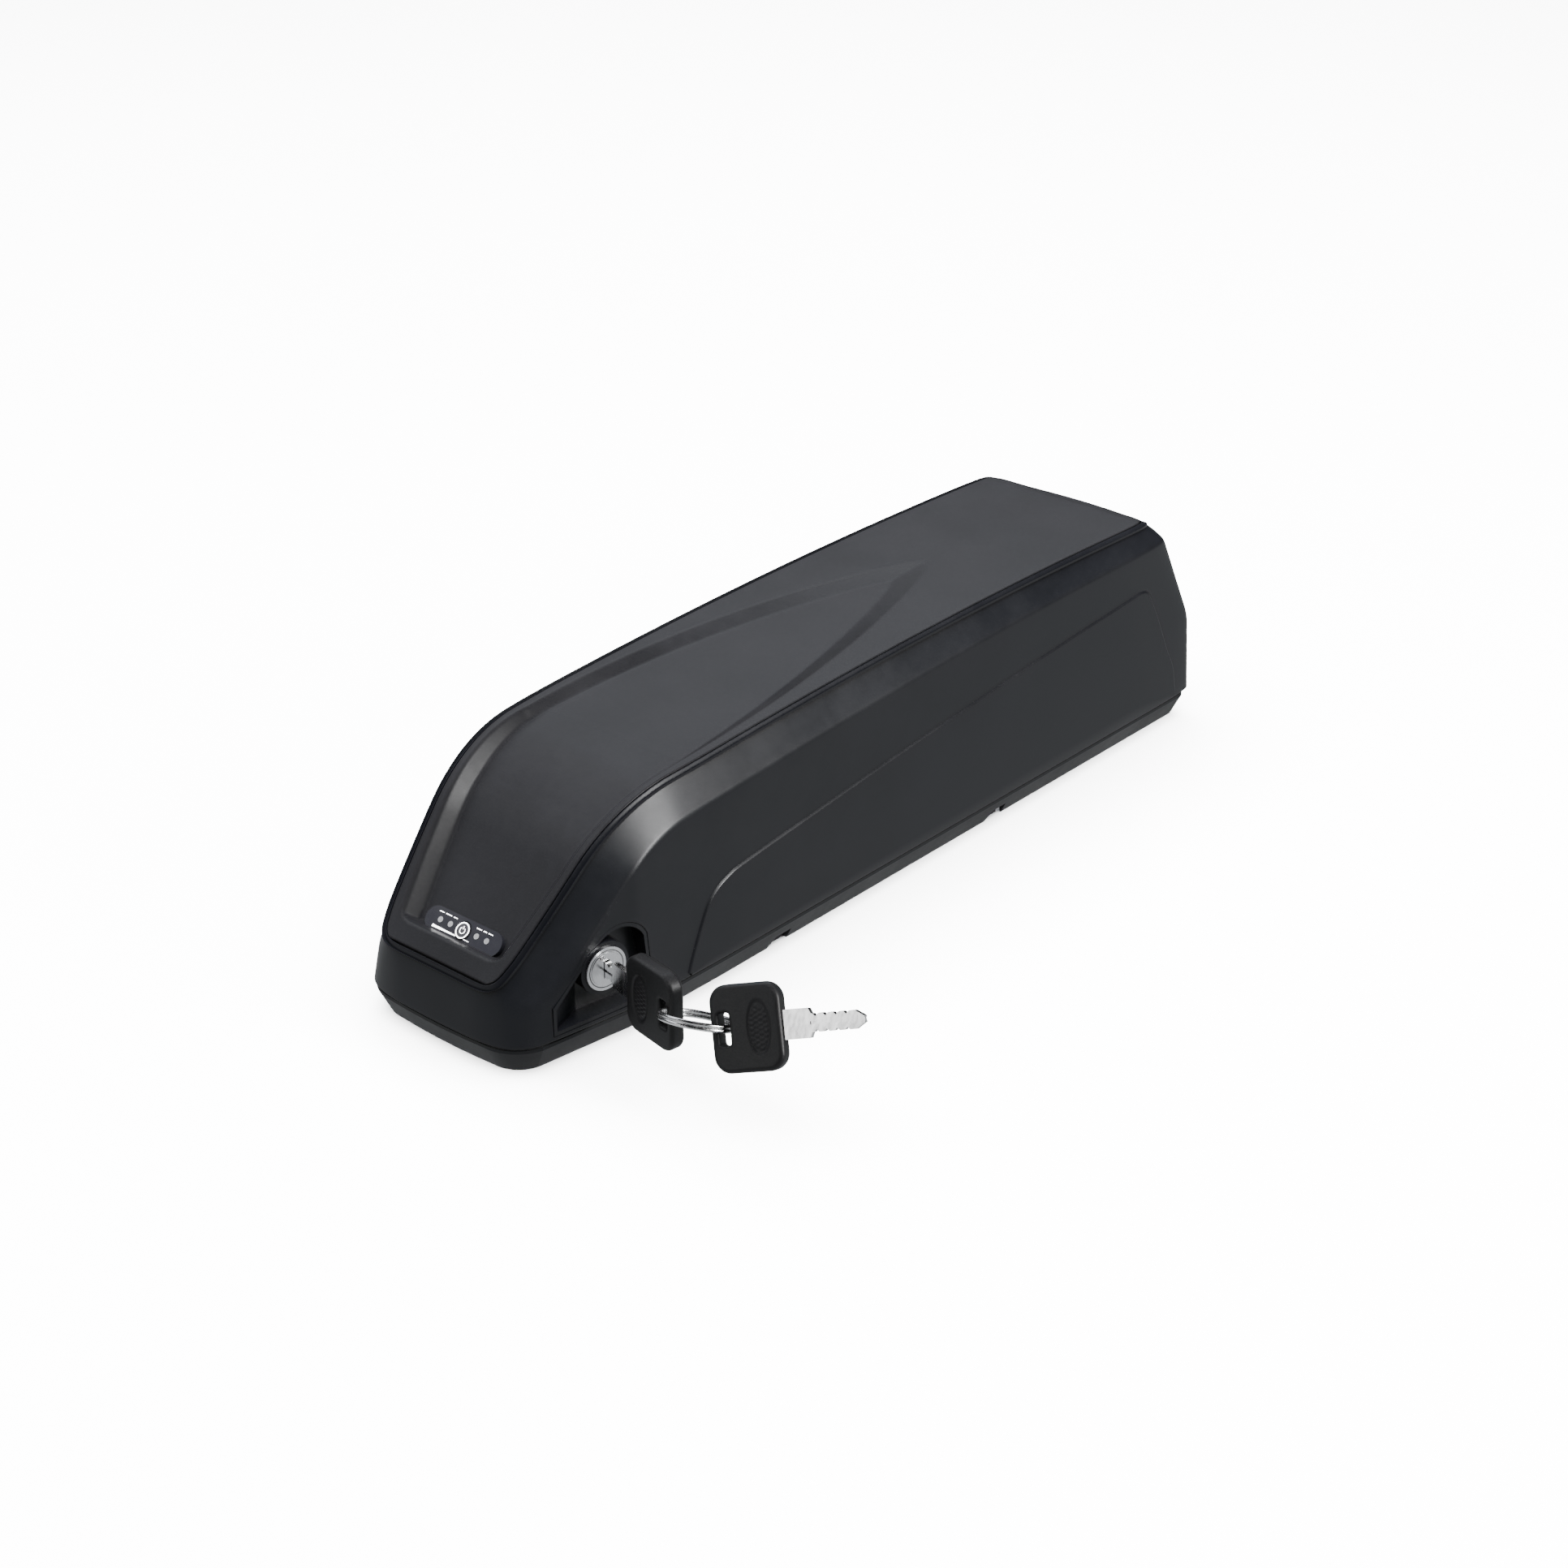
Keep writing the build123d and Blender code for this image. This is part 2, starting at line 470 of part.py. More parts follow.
# ---------------------------------------------------------------- bottom tray and gasket
TRAY_BAND = 8.4
TRAY_FLOOR = 3.0
TAPER_DEG = 26.0
GUIDE_TOP = 12.0          # sleeve that guides the bolt
GUIDE_R = 6.0
GUIDE_CLEARANCE = 0.05
NOTCH_D = (116.0, 237.8)  # cradle notches in both long edges
NOTCH_LONG = 11.0
NOTCH_HIGH = 4.2
NOTCH_SLANT = 3.4
NOTCH_INNER_Y = 38.0
NOTCH_DEEP = 16.0
SOCKET_LOW = (at(24.0), 2.0)
SOCKET_HIGH = (at(42.0), 30.0)
gasket = extrude(Pos(0, 0, TRAY_TOP) * (plan_face(0.9) - plan_face(2.5)), SEAM_Z - TRAY_TOP)
parts["case_gasket"] = gasket
tray = extrude(Pos(0, 0, TRAY_BAND) * plan_face(0.7), TRAY_TOP - TRAY_BAND)
tray += extrude(Pos(0, 0, TRAY_BAND) * plan_face(0.7), -TRAY_BAND, taper=TAPER_DEG)
tray -= extrude(Pos(0, 0, TRAY_FLOOR) * plan_face(7.0), 20)
for x, y in screw_spots:
    tray += rod((x, y, TRAY_FLOOR - 1), (x, y, TRAY_TOP), POST_R) & extrude(plan_face(3.6), 20)
bolt_spot = (bolt_axis.X, bolt_axis.Y)
tray += rod((*bolt_spot, 0.5), (*bolt_spot, GUIDE_TOP), GUIDE_R)
tray -= rod((*bolt_spot, -1), (*bolt_spot, GUIDE_TOP + 1), BOLT_ROD_R + GUIDE_CLEARANCE)
for side in (1, -1):
    y = side * 20
    tray += box_between((at(80), y - 1.2, TRAY_FLOOR - 1), (at(330), y + 1.2, 12.4))
tray -= box_between((*SOCKET_LOW, -1), (*SOCKET_HIGH, 20))
for d in NOTCH_D:
    notch = make_face(Polyline((at(d), -1), (at(d + NOTCH_SLANT), NOTCH_HIGH), (at(d + NOTCH_LONG), NOTCH_HIGH),
                               (at(d + NOTCH_LONG), -1), close=True))
    for y in (NOTCH_INNER_Y + NOTCH_DEEP, -NOTCH_INNER_Y):
        plane = Plane(origin=(0, y, 0), x_dir=(1, 0, 0), z_dir=(0, -1, 0))
        tray -= extrude(plane * notch, NOTCH_DEEP)
for x, y in screw_spots:
    tray -= rod((x, y, -1), (x, y, 2.3), 2.5) + rod((x, y, -1), (x, y, 20), 1.6)
parts["bottom_tray"] = tray
screws = []
for x, y in screw_spots:
    screw = rod((x, y, 0.4), (x, y, 2.3), 2.2) + rod((x, y, 2.2), (x, y, 22.0), 1.45)
    screw -= Pos(x, y, 0.4) * Box(0.6, 3.0, 1.4)
    screws.append(screw)
parts["tray_screws"] = Compound(children=screws)

# ---------------------------------------------------------------- discharge socket
SOCKET_WALL = 2.0
sx0, sy0 = SOCKET_LOW
sx1, sy1 = SOCKET_HIGH
socket = box_between((sx0 + 0.1, sy0 + 0.1, 0.6), (sx1 - 0.1, sy1 - 0.1, 20.0))
socket += box_between((sx0 - 2, sy0 - 2, TRAY_FLOOR + 0.05), (sx1 + 2, sy1 + 2, 5.0))
socket -= box_between((sx0 + SOCKET_WALL, sy0 + SOCKET_WALL, -1), (sx1 - SOCKET_WALL, sy1 - SOCKET_WALL, 16.0))
contact_y = [sy0 + 3.9 + 6.7 * i for i in range(4)]
contacts = []
for y in contact_y:
    socket -= box_between((sx0 + 4.0, y - 0.4, 10), (sx0 + 10.0, y + 0.4, 30))
    contacts.append(box_between((sx0 + 4.0, y - 0.4, 2.0), (sx0 + 10.0, y + 0.4, 24.0)))
parts["discharge_socket"] = socket
parts["discharge_contacts"] = Compound(children=contacts)

# ---------------------------------------------------------------- cells, holders and strips
cell_d = [CELL_FIRST_D + CELL_PITCH * i for i in range(CELL_COLUMNS)]
cell_z = [CELL_FIRST_Z + CELL_PITCH * i for i in range(CELL_ROWS)]
half_cell = CELL_LENGTH / 2
for i, d in enumerate(cell_d, 1):
    group = [rod((at(d), -half_cell, z), (at(d), half_cell, z), CELL_R) for z in cell_z]
    parts[f"cell_group_{i:02d}"] = Compound(children=group)
HOLDER_THICK = 8.0
for name, side in (("left", 1), ("right", -1)):
    y0, y1 = sorted((side * (half_cell - HOLDER_THICK), side * half_cell))
    holder = box_between((at(cell_d[0] - 10), y0, cell_z[0] - 10),
                         (at(cell_d[-1] + 10), y1, cell_z[-1] + 10))
    holes = [rod((at(d), y0 - 1, z), (at(d), y1 + 1, z), CELL_R + 0.15) for d in cell_d for z in cell_z]
    holder = holder - holes
    parts[f"cell_holder_{name}"] = holder
    strips = []
    offset_first = 0 if side > 0 else -1
    y0, y1 = sorted((side * half_cell, side * (half_cell + 0.3)))
    for i in range(offset_first, CELL_COLUMNS, 2):
        first, last = max(i, 0), min(i + 1, CELL_COLUMNS - 1)
        strips.append(box_between((at(cell_d[first]) - 5, y0, cell_z[0] - 5),
                                  (at(cell_d[last]) + 5, y1, cell_z[-1] + 5)))
    parts[f"nickel_strips_{name}"] = Compound(children=strips)
parts["foam_pad_bottom"] = box_between((at(84), -26, 12.4), (at(326), 26, cell_z[0] - 10))
parts["foam_pad_top"] = box_between((at(110), -30, cell_z[-1] + 10), (at(326), 30, cell_z[-1] + 13))

# ---------------------------------------------------------------- battery management board
BOARD_D = 70.0
parts["bms_board"] = box_between((at(BOARD_D), -31, 14), (at(BOARD_D + 1.6), 31, 58))
chips = [box_between((at(BOARD_D - 2.4), -26 + 11 * i, 40), (at(BOARD_D), -18 + 11 * i, 50)) for i in range(5)]
parts["bms_transistors"] = Compound(children=chips)
parts["bms_heat_spreader"] = box_between((at(BOARD_D - 4.4), -29, 38), (at(BOARD_D - 2.4), 29, 52))
parts["main_fuse"] = rod((at(BOARD_D - 3.4), 8, 30), (at(BOARD_D - 3.4), 26, 30), 3.2)
leads = []
for y, z in ((contact_y[0], 21.0), (contact_y[3], 21.0)):
    leads.append(rod((sx0 + 10.0, y, z + 0.4), (at(BOARD_D), y, z + 0.4), 1.2))
parts["discharge_leads"] = Compound(children=leads)

# ---------------------------------------------------------------- written parts
os.makedirs("parts", exist_ok=True)
for name, shape in parts.items():
    export_step(shape, f"parts/{name}.step")
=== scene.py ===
"""Looks of the battery pack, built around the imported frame.

Metres in the frame; sizes below are millimetres and are turned into metres where a mesh is made.
"d" is a distance back from the nose tip, y is sideways and z is up. The lock is on the -y side.
"""

import json
import math

import bmesh
import bpy
import numpy as np
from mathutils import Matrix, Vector
from mathutils.bvhtree import BVHTree


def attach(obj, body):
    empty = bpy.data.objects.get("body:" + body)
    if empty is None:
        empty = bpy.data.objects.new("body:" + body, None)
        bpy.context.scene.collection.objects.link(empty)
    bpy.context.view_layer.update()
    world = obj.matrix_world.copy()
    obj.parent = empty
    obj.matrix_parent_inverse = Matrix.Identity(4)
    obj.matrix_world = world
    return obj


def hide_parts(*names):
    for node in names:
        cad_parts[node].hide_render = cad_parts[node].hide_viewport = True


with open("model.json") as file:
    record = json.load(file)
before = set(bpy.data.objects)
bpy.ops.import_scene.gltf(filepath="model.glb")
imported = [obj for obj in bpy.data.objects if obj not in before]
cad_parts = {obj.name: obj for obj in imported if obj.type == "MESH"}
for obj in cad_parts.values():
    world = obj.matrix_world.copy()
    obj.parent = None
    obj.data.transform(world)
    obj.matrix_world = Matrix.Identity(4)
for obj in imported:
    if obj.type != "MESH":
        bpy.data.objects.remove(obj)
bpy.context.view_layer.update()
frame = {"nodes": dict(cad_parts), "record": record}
nodes = frame["nodes"]
MM = 0.001

# ---------------------------------------------------------------- sizes shared with the frame
LENGTH = 367.0
SEAM_Z = 10.4             # lower edge of the case
SIDE_Y = 44.4             # half width of the case
RIM_Y = 37.0              # half width of the top cover
COVER_GAP = 0.35          # dark line between cover and case
COVER_ROUND = 0.55        # round along the cover's edge
COVER_THICK = 1.8
SHELL_THICK = 2.2
PANEL_RAISE = 0.6
FOOT = (3.0, 30.5)        # lower end of the cover's slope
SLOPE_DEG = 45.9
LOCK_FACE = Vector((-146.8, -42.6, 29.6))
LOCK_YAW = math.radians(10)
LOCK_OUT = Vector((-math.sin(LOCK_YAW), -math.cos(LOCK_YAW), 0))
LOCK_ALONG = Vector((math.cos(LOCK_YAW), -math.sin(LOCK_YAW), 0))


def to_metres(points):
    """(d, y, z) in millimetres to frame metres."""
    p = np.asarray(points, float)
    return (p - np.array([LENGTH / 2, 0, 0])) * MM


# ---------------------------------------------------------------- mesh helpers
def make_object(name, verts, faces, smooth=True):
    mesh = bpy.data.meshes.new(name)
    mesh.from_pydata([tuple(v) for v in verts], [], [tuple(f) for f in faces])
    mesh.validate()
    mesh.update()
    obj = bpy.data.objects.new(name, mesh)
    bpy.context.scene.collection.objects.link(obj)
    if smooth:
        mesh.shade_smooth()
    return obj


def grid_faces(rows, columns, closed=False, flip=False):
    """Quads of a grid of points stored row by row; closed joins the last row to the first."""
    faces = []
    for i in range(rows if closed else rows - 1):
        a, b = i * columns, (i + 1) % rows * columns
        for j in range(columns - 1):
            quad = (a + j, b + j, b + j + 1, a + j + 1)
            faces.append(quad[::-1] if flip else quad)
    return faces


def apply_modifier(obj, kind, **settings):
    modifier = obj.modifiers.new(kind.lower(), kind)
    for key, value in settings.items():
        setattr(modifier, key, value)
    graph = bpy.context.evaluated_depsgraph_get()
    mesh = bpy.data.meshes.new_from_object(obj.evaluated_get(graph))
    obj.modifiers.clear()
    old = obj.data
    obj.data = mesh
    bpy.data.meshes.remove(old)


def soften(obj, degrees=35):
    """Smooth shading with edges over the angle kept sharp."""
    obj.data.shade_smooth()
    obj.data.set_sharp_from_angle(angle=math.radians(degrees))


def weld(obj, distance=1e-5):
    bm = bmesh.new()
    bm.from_mesh(obj.data)
    bmesh.ops.remove_doubles(bm, verts=bm.verts, dist=distance)
    bmesh.ops.recalc_face_normals(bm, faces=bm.faces)
    bm.to_mesh(obj.data)
    bm.free()


def open_hole(obj, outline, origin, x_axis, y_axis, reach):
    """Cuts a convex outline, in millimetres on a plane, out of the part of a surface near that plane."""
    out_axis = x_axis.cross(y_axis)
    mesh = obj.data
    bm = bmesh.new()
    bm.from_mesh(mesh)

    def local(point):
        p = point / MM - origin
        return p.dot(x_axis), p.dot(y_axis), p.dot(out_axis)

    xs, ys = [p[0] for p in outline], [p[1] for p in outline]
    margin = 6.0

    def near(face):
        x, y, z = local(face.calc_center_median())
        return (min(xs) - margin < x < max(xs) + margin and min(ys) - margin < y < max(ys) + margin
                and reach[0] < z < reach[1])

    count = len(outline)
    centre = (origin + x_axis * (sum(xs) / count) + y_axis * (sum(ys) / count)) * MM
    planes = []
    for i in range(count):
        (ax, ay), (bx, by) = outline[i], outline[(i + 1) % count]
        place = (origin + x_axis * ax + y_axis * ay) * MM
        normal = (x_axis * (by - ay) - y_axis * (bx - ax)).normalized()
        planes.append((place, normal if (centre - place).dot(normal) < 0 else -normal))
    for co, no in planes:
        faces = [f for f in bm.faces if near(f)
                 and all(min((v.co - c).dot(n) for v in f.verts) < 1e-7 for c, n in planes)]
        geom = list({g for f in faces for g in (*f.verts, *f.edges)}) + faces
        bmesh.ops.bisect_plane(bm, geom=geom, plane_co=co, plane_no=no, dist=1e-7)
    inside = [f for f in bm.faces
              if near(f) and all((f.calc_center_median() - c).dot(n) < 0 for c, n in planes)]
    bmesh.ops.delete(bm, geom=inside, context="FACES")
    bmesh.ops.remove_doubles(bm, verts=bm.verts, dist=1e-6)
    bm.to_mesh(mesh)
    bm.free()


def through(keys, count):
    """Catmull-Rom curve through the key rows, count samples to a span."""
    keys = np.asarray(keys, float)
    ext = np.vstack([2 * keys[0] - keys[1], keys, 2 * keys[-1] - keys[-2]])
    out = []
    for i in range(len(keys) - 1):
        a, b, c, d = ext[i:i + 4]
        for t in np.linspace(0, 1, count, endpoint=False):
            out.append(0.5 * (2 * b + (c - a) * t + (2 * a - 5 * b + 4 * c - d) * t ** 2
                              + (3 * b - a - 3 * c + d) * t ** 3))
    out.append(keys[-1])
    return np.array(out)


def smoothed(points, passes):
    """Evens out a run of points, keeping its ends."""
    p = np.array(points, float)
    for _ in range(passes):
        p[1:-1] = 0.25 * p[:-2] + 0.5 * p[1:-1] + 0.25 * p[2:]
    return p


# ---------------------------------------------------------------- side profiles of rim and crease
def profile(start, slope_deg, line_end, radius, roof_deg, end):
    """Straight slope, round bend, long shallow roof arc: returns place(u), u in 0-1-2-3 over the three."""
    a0, a1 = math.radians(slope_deg), math.radians(roof_deg)
    p0 = np.array(start, float)
    p1 = p0 + (line_end - p0[0]) * np.array([1, math.tan(a0)])
    p2 = p1 + radius * np.array([math.sin(a0) - math.sin(a1), math.cos(a1) - math.cos(a0)])
    chord = np.array(end, float) - p2
    chord_angle = math.atan2(chord[1], chord[0])
    a2 = 2 * chord_angle - a1
    roof_radius = np.linalg.norm(chord) / (2 * math.sin((a1 - a2) / 2))

    def place(u):
        if u <= 1:
            return p0 + (p1 - p0) * u
        if u <= 2:
            a = a0 + (a1 - a0) * (u - 1)
            return p1 + radius * np.array([math.sin(a0) - math.sin(a), math.cos(a) - math.cos(a0)])
        a = a1 + (a2 - a1) * (u - 2)
        return p2 + roof_radius * np.array([math.sin(a1) - math.sin(a), math.cos(a) - math.cos(a1)])
    return place


rim_at = profile(FOOT, SLOPE_DEG, 35.0, 61.6, 4.3, (337.0, 88.1))
crease_at = profile((16.0, 24.5), 46.9, 45.0, 45.0, 4.8, (331.0, 80.3))


TAIL_ROUND = 9.0          # round from the roof into the tail
TAIL_END = math.radians(-71.9)


def rim_line():
    """The rim surface seen from the side, with the round into the tail, as (d, z)."""
    pts = [rim_at(u) for u in np.linspace(0, 3, 900)]
    start = pts[-1]
    a0 = math.atan2(*(pts[-1] - pts[-2])[::-1])
    for a in np.linspace(a0, TAIL_END, 40)[1:]:
        pts.append(start + TAIL_ROUND * np.array([math.sin(a0) - math.sin(a), math.cos(a) - math.cos(a0)]))
    return np.array(pts)


RIM = rim_line()
RIM_RUN = np.concatenate([[0], np.cumsum(np.hypot(*np.diff(RIM, axis=0).T))])
RIM_TANGENT = np.gradient(RIM, axis=0)
RIM_TANGENT /= np.linalg.norm(RIM_TANGENT, axis=1)[:, None]


def rim_height(d):
    return np.interp(d, RIM[:, 0], RIM[:, 1])


def rim_run(d):
    """Length along the rim surface from its foot."""
    return np.interp(d, RIM[:, 0], RIM_RUN)


def rim_normal(d):
    """Outward direction of the rim surface in the (d, z) plane."""
    td = np.interp(d, RIM[:, 0], RIM_TANGENT[:, 0])
    tz = np.interp(d, RIM[:, 0], RIM_TANGENT[:, 1])
    return -tz, td


def rim_half_width(d):
    """Half width of the top cover, narrowing down the slope."""
    narrow = np.clip((95.0 - d) / 101.0, 0, None)
    return RIM_Y - 13.0 * narrow ** 2


def plan_half_width(d):
    """Half width of the case side behind the front corner."""
    return np.interp(d, [12.5, 50.0, 95.0, 352.0], [38.0, SIDE_Y - 0.7, SIDE_Y, SIDE_Y])


# ---------------------------------------------------------------- ribs round the case
def front_ribs():
    """Rim, crease, low and seam points from the middle of the nose round its corner."""
    rim = [(3.0, 0, 30.5), (3.0, 10, 30.5), (3.0, 18, 30.5), (3.4, 22.4, 30.9), (4.6, 24.9, 32.2),
           (6.6, 26.5, 34.2)]
    crease = [(1.9, 0, 23.6), (1.9, 10.5, 23.6), (2.1, 19.5, 23.6), (4.0, 27.6, 23.4), (8.4, 33.2, 23.6),
              (15.4, 38.2, 24.2)]
    seam = [(0.0, 0, SEAM_Z), (0.2, 11, SEAM_Z), (0.7, 20.6, SEAM_Z), (2.8, 29.8, SEAM_Z),
            (6.8, 34.9, SEAM_Z), (12.5, 38.0, SEAM_Z)]
    low = [tuple(np.add(np.multiply(c, 0.5), np.multiply(s, 0.5))) for c, s in zip(crease, seam)]
    return [through(k, 8)[:-1] for k in (rim, crease, low, seam)]


def side_ribs():
    """The same four rows of points along the side, paired along slope, bend and roof."""
    steps = np.concatenate([np.linspace(0.19, 1, 18)[:-1], np.linspace(1, 2, 34)[:-1],
                            np.linspace(2, 2.95, 90)])
    rim, crease, low, seam = [], [], [], []
    for u in steps:
        d, z = rim_at(u)
        rim.append((d, rim_half_width(d), z))
        d, z = crease_at(u)
        c = np.array((d, plan_half_width(d), z))
        sd = np.interp(d, [15.4, 45.0, 84.0, 205.0, 331.0], [12.5, 45.0, 84.0, 210.0, 359.0])
        s = np.array((sd, plan_half_width(sd), SEAM_Z))
        crease.append(c)
        seam.append(s)
        low.append(s + (c - s) * np.interp(d, [250.0, 331.0], [0.3, 0.47]))
    return [np.array(k) for k in (rim, crease, low, seam)]


def tail_ribs():
    """The same four rows from the end of the side round the tail corner to the middle of the tail."""
    plan = [(335.8, 36.5), (338.2, 34.6), (339.8, 30.2), (342.4, 19.0), (344.0, 0.0)]
    rim = [(d, y, rim_height(d)) for d, y in plan]
    crease = [(341.4, 43.0, 80.2), (345.4, 39.8, 80.9), (346.6, 33.0, 83.0), (347.5, 20.0, 84.4),
              (347.9, 0, 85.0)]
    low = [(360.6, 43.7, 43.0), (362.8, 41.0, 43.4), (363.7, 33.0, 43.7), (364.1, 20.0, 43.7),
           (364.3, 0, 43.7)]
    seam = [(364.4, 43.8, SEAM_Z), (366.3, 41.2, SEAM_Z), (366.7, 33.0, SEAM_Z), (366.9, 20.0, SEAM_Z),
            (367.0, 0, SEAM_Z)]
    return rim, crease, low, seam


def half_ribs():
    rows = []
    for front, side, tail in zip(front_ribs(), side_ribs(), tail_ribs()):
        joined = np.vstack([side[-1], tail])
        tail_run = through(joined, 8)[1:]
        run = np.vstack([front, side, tail_run])
        mirrored = np.vstack([(run * [1, -1, 1])[6:0:-1], run, (run * [1, -1, 1])[-2:-8:-1]])
        rows.append(smoothed(mirrored, 6)[6:-6])
    return rows


def rounded_rib(corners, rounding, steps, arc_steps):
    """Rows of points along every rib: straight runs with quadratic rounds at the inner corners."""
    count = len(corners)
    entry, leave = {}, {}
    for k in range(1, count - 1):
        back, ahead = corners[k - 1] - corners[k], corners[k + 1] - corners[k]
        lb = np.linalg.norm(back, axis=1, keepdims=True)
        la = np.linalg.norm(ahead, axis=1, keepdims=True)
        r = np.minimum(rounding[k], 0.47 * np.minimum(lb, la))
        entry[k] = corners[k] + back / lb * r
        leave[k] = corners[k] + ahead / la * r
    rows = [corners[0]]
    for k in range(1, count):
        begin = leave.get(k - 1, corners[0])
        finish = entry.get(k, corners[-1])
        for t in np.linspace(0, 1, steps[k - 1] + 1)[1:]:
            rows.append(begin + (finish - begin) * t)
        if k < count - 1:
            for t in np.linspace(0, 1, arc_steps[k] + 1)[1:]:
                rows.append((1 - t) ** 2 * entry[k] + 2 * t * (1 - t) * corners[k] + t ** 2 * leave[k])
    return np.stack(rows, axis=1)


HALF_ROWS = half_ribs()


GAP_DEPTH = 1.6           # wall down into the gap round the cover
LIP_DEPTH = 1.6           # lower edge turned in under the case


def case_grid():
    """Outer surface of the case as ribs round it, each from the gap wall over the rim to the lower lip."""
    rim, crease, low, seam = HALF_ROWS
    nd, nz = rim_normal(rim[:, 0])
    down = np.stack([-nd, np.zeros(len(nd)), -nz], axis=1)
    gap_wall = rim + down * GAP_DEPTH
    inward = np.stack([(180.0 - seam[:, 0]) / 180.0, -seam[:, 1] / SIDE_Y, np.zeros(len(rim))], axis=1)
    inward /= np.linalg.norm(inward, axis=1, keepdims=True)
    lip = seam + inward * LIP_DEPTH
    n = len(rim)
    position = np.arange(n)
    nose = np.clip(1 - position / 46.0, 0, 1)[:, None]
    tail = np.clip(1 - (n - 1 - position) / 30.0, 0, 1)[:, None]
    crease_round = 1.3 + 7.0 * nose ** 0.7 + 3.2 * tail ** 0.6
    half = rounded_rib([gap_wall, rim, crease, low, seam, lip],
                       [0, 0.55, crease_round, 3.0 + 26.0 * tail, 0.45, 0],
                       [1, 9, 12, 6, 1], [0, 4, 8, 4, 3, 0])
    other = (half * [1, -1, 1])[-2:0:-1]
    return np.concatenate([half, other])


def make_case():
    grid = case_grid()
    ribs, points = grid.shape[:2]
    faces = grid_faces(ribs, points, closed=True)
    obj = make_object("case_skin", to_metres(grid.reshape(-1, 3)), faces)
    weld(obj, 1e-7)
    return obj


def outward(obj):
    """Flips the surface if its normals point inwards."""
    mesh = obj.data
    total = sum(p.normal.dot(Vector((p.center.x * 0.1, p.center.y, p.center.z - 0.04))) * p.area
                for p in mesh.polygons)
    if total < 0:
        mesh.flip_normals()


# ---------------------------------------------------------------- raised side panels
PANEL_TOP = [(72.5, 12.2), (74.6, 18.0), (80.7, 31.7), (85.6, 37.6), (92.7, 41.2), (101.0, 42.9),
             (131.0, 46.4), (196.0, 53.5), (265.0, 60.0), (318.0, 64.1), (326.0, 64.7), (331.0, 63.6),
             (334.6, 59.6), (341.0, 48.0), (348.0, 33.8), (353.0, 25.2), (356.0, 13.5)]
PANEL_FOOT = (73.9, 354.6)  # ends of the panel's lower edge
PANEL_FOOT_Z = 11.3
# Steps over the panel's upper edge: distance in from the edge, height above the side.
PANEL_EDGE = [(0.0, -0.35), (0.0, 0.0), (0.28, 0.24), (0.56, 0.48), (0.75, PANEL_RAISE - 0.02),
              (0.95, PANEL_RAISE), (1.3, PANEL_RAISE)]


def side_panel(tree, side):
    """Raised plate on the case side: a grid hanging from its upper edge down to the seam."""
    top = smoothed(through(PANEL_TOP, 10), 4)
    tangent = np.gradient(top, axis=0)
    tangent /= np.linalg.norm(tangent, axis=1)[:, None]
    inward = np.stack([tangent[:, 1], -tangent[:, 0]], axis=1)
    share = (top[:, 0] - top[0, 0]) / (top[-1, 0] - top[0, 0])
    bottom = np.stack([PANEL_FOOT[0] + share * (PANEL_FOOT[1] - PANEL_FOOT[0]),
                       np.full(len(top), PANEL_FOOT_Z)], axis=1)
    rows = [(top + inward * e, h) for e, h in PANEL_EDGE]
    last = top + inward * PANEL_EDGE[-1][0]
    for t in np.linspace(0, 1, 12)[1:]:
        rows.append((last + (bottom - last) * t, PANEL_RAISE))
    rows.append((bottom - [0, 0.5], PANEL_RAISE * 0.6))
    rows.append((bottom - [0, 0.6], -0.5))
    verts = []
    for pts, h in rows:
        for d, z in pts:
            start = Vector(((d - LENGTH / 2) * MM, side * 0.1, z * MM))
            hit = tree.ray_cast(start, Vector((0, -side, 0)))
            y = hit[0].y if hit[0] else side * plan_half_width(d) * MM
            verts.append((start.x, y + side * h * MM, start.z))
    return make_object(f"side_panel_{'left' if side > 0 else 'right'}", verts,
                       grid_faces(len(rows), len(top), flip=side > 0))


# ---------------------------------------------------------------- top cover
def over_arc(x, p1, p2, p3):
    """Height of the circle through three points, on its upper side."""
    (ax, ay), (bx, by), (cx, cy) = p1, p2, p3
    m = 2 * (ax * (by - cy) + bx * (cy - ay) + cx * (ay - by))
    a2, b2, c2 = ax * ax + ay * ay, bx * bx + by * by, cx * cx + cy * cy
    ux = (a2 * (by - cy) + b2 * (cy - ay) + c2 * (ay - by)) / m
    uy = (a2 * (cx - bx) + b2 * (ax - cx) + c2 * (bx - ax)) / m
    r2 = (ax - ux) ** 2 + (ay - uy) ** 2
    return uy + np.sqrt(np.maximum(r2 - (np.asarray(x, float) - ux) ** 2, 0))


SCOOP_BEND = 78.0         # the scoop's sides stop widening here
OUTER_TIP = 252.0         # its point on the roof
INNER_TIP = 231.0


def blunt(d, tip, points, reach, blunting):
    """Half width of a tapering V whose tip is rounded off instead of sharp."""
    shifted = d - reach * np.clip((d - SCOOP_BEND) / (tip - SCOOP_BEND), 0, 1)
    return np.sqrt(np.maximum(over_arc(np.minimum(shifted, tip), *points) ** 2 - blunting ** 2, 0))


def scoop_outer(d):
    wide = over_arc(d, (5.0, 21.2), (36.0, 29.0), (SCOOP_BEND, 33.0))
    narrow = blunt(d, OUTER_TIP, [(SCOOP_BEND, 33.0), (184.0, 22.0), (OUTER_TIP, 0.0)], 8.0, 3.6)
    return np.where(d < SCOOP_BEND, wide, np.where(d < OUTER_TIP, narrow, 0))


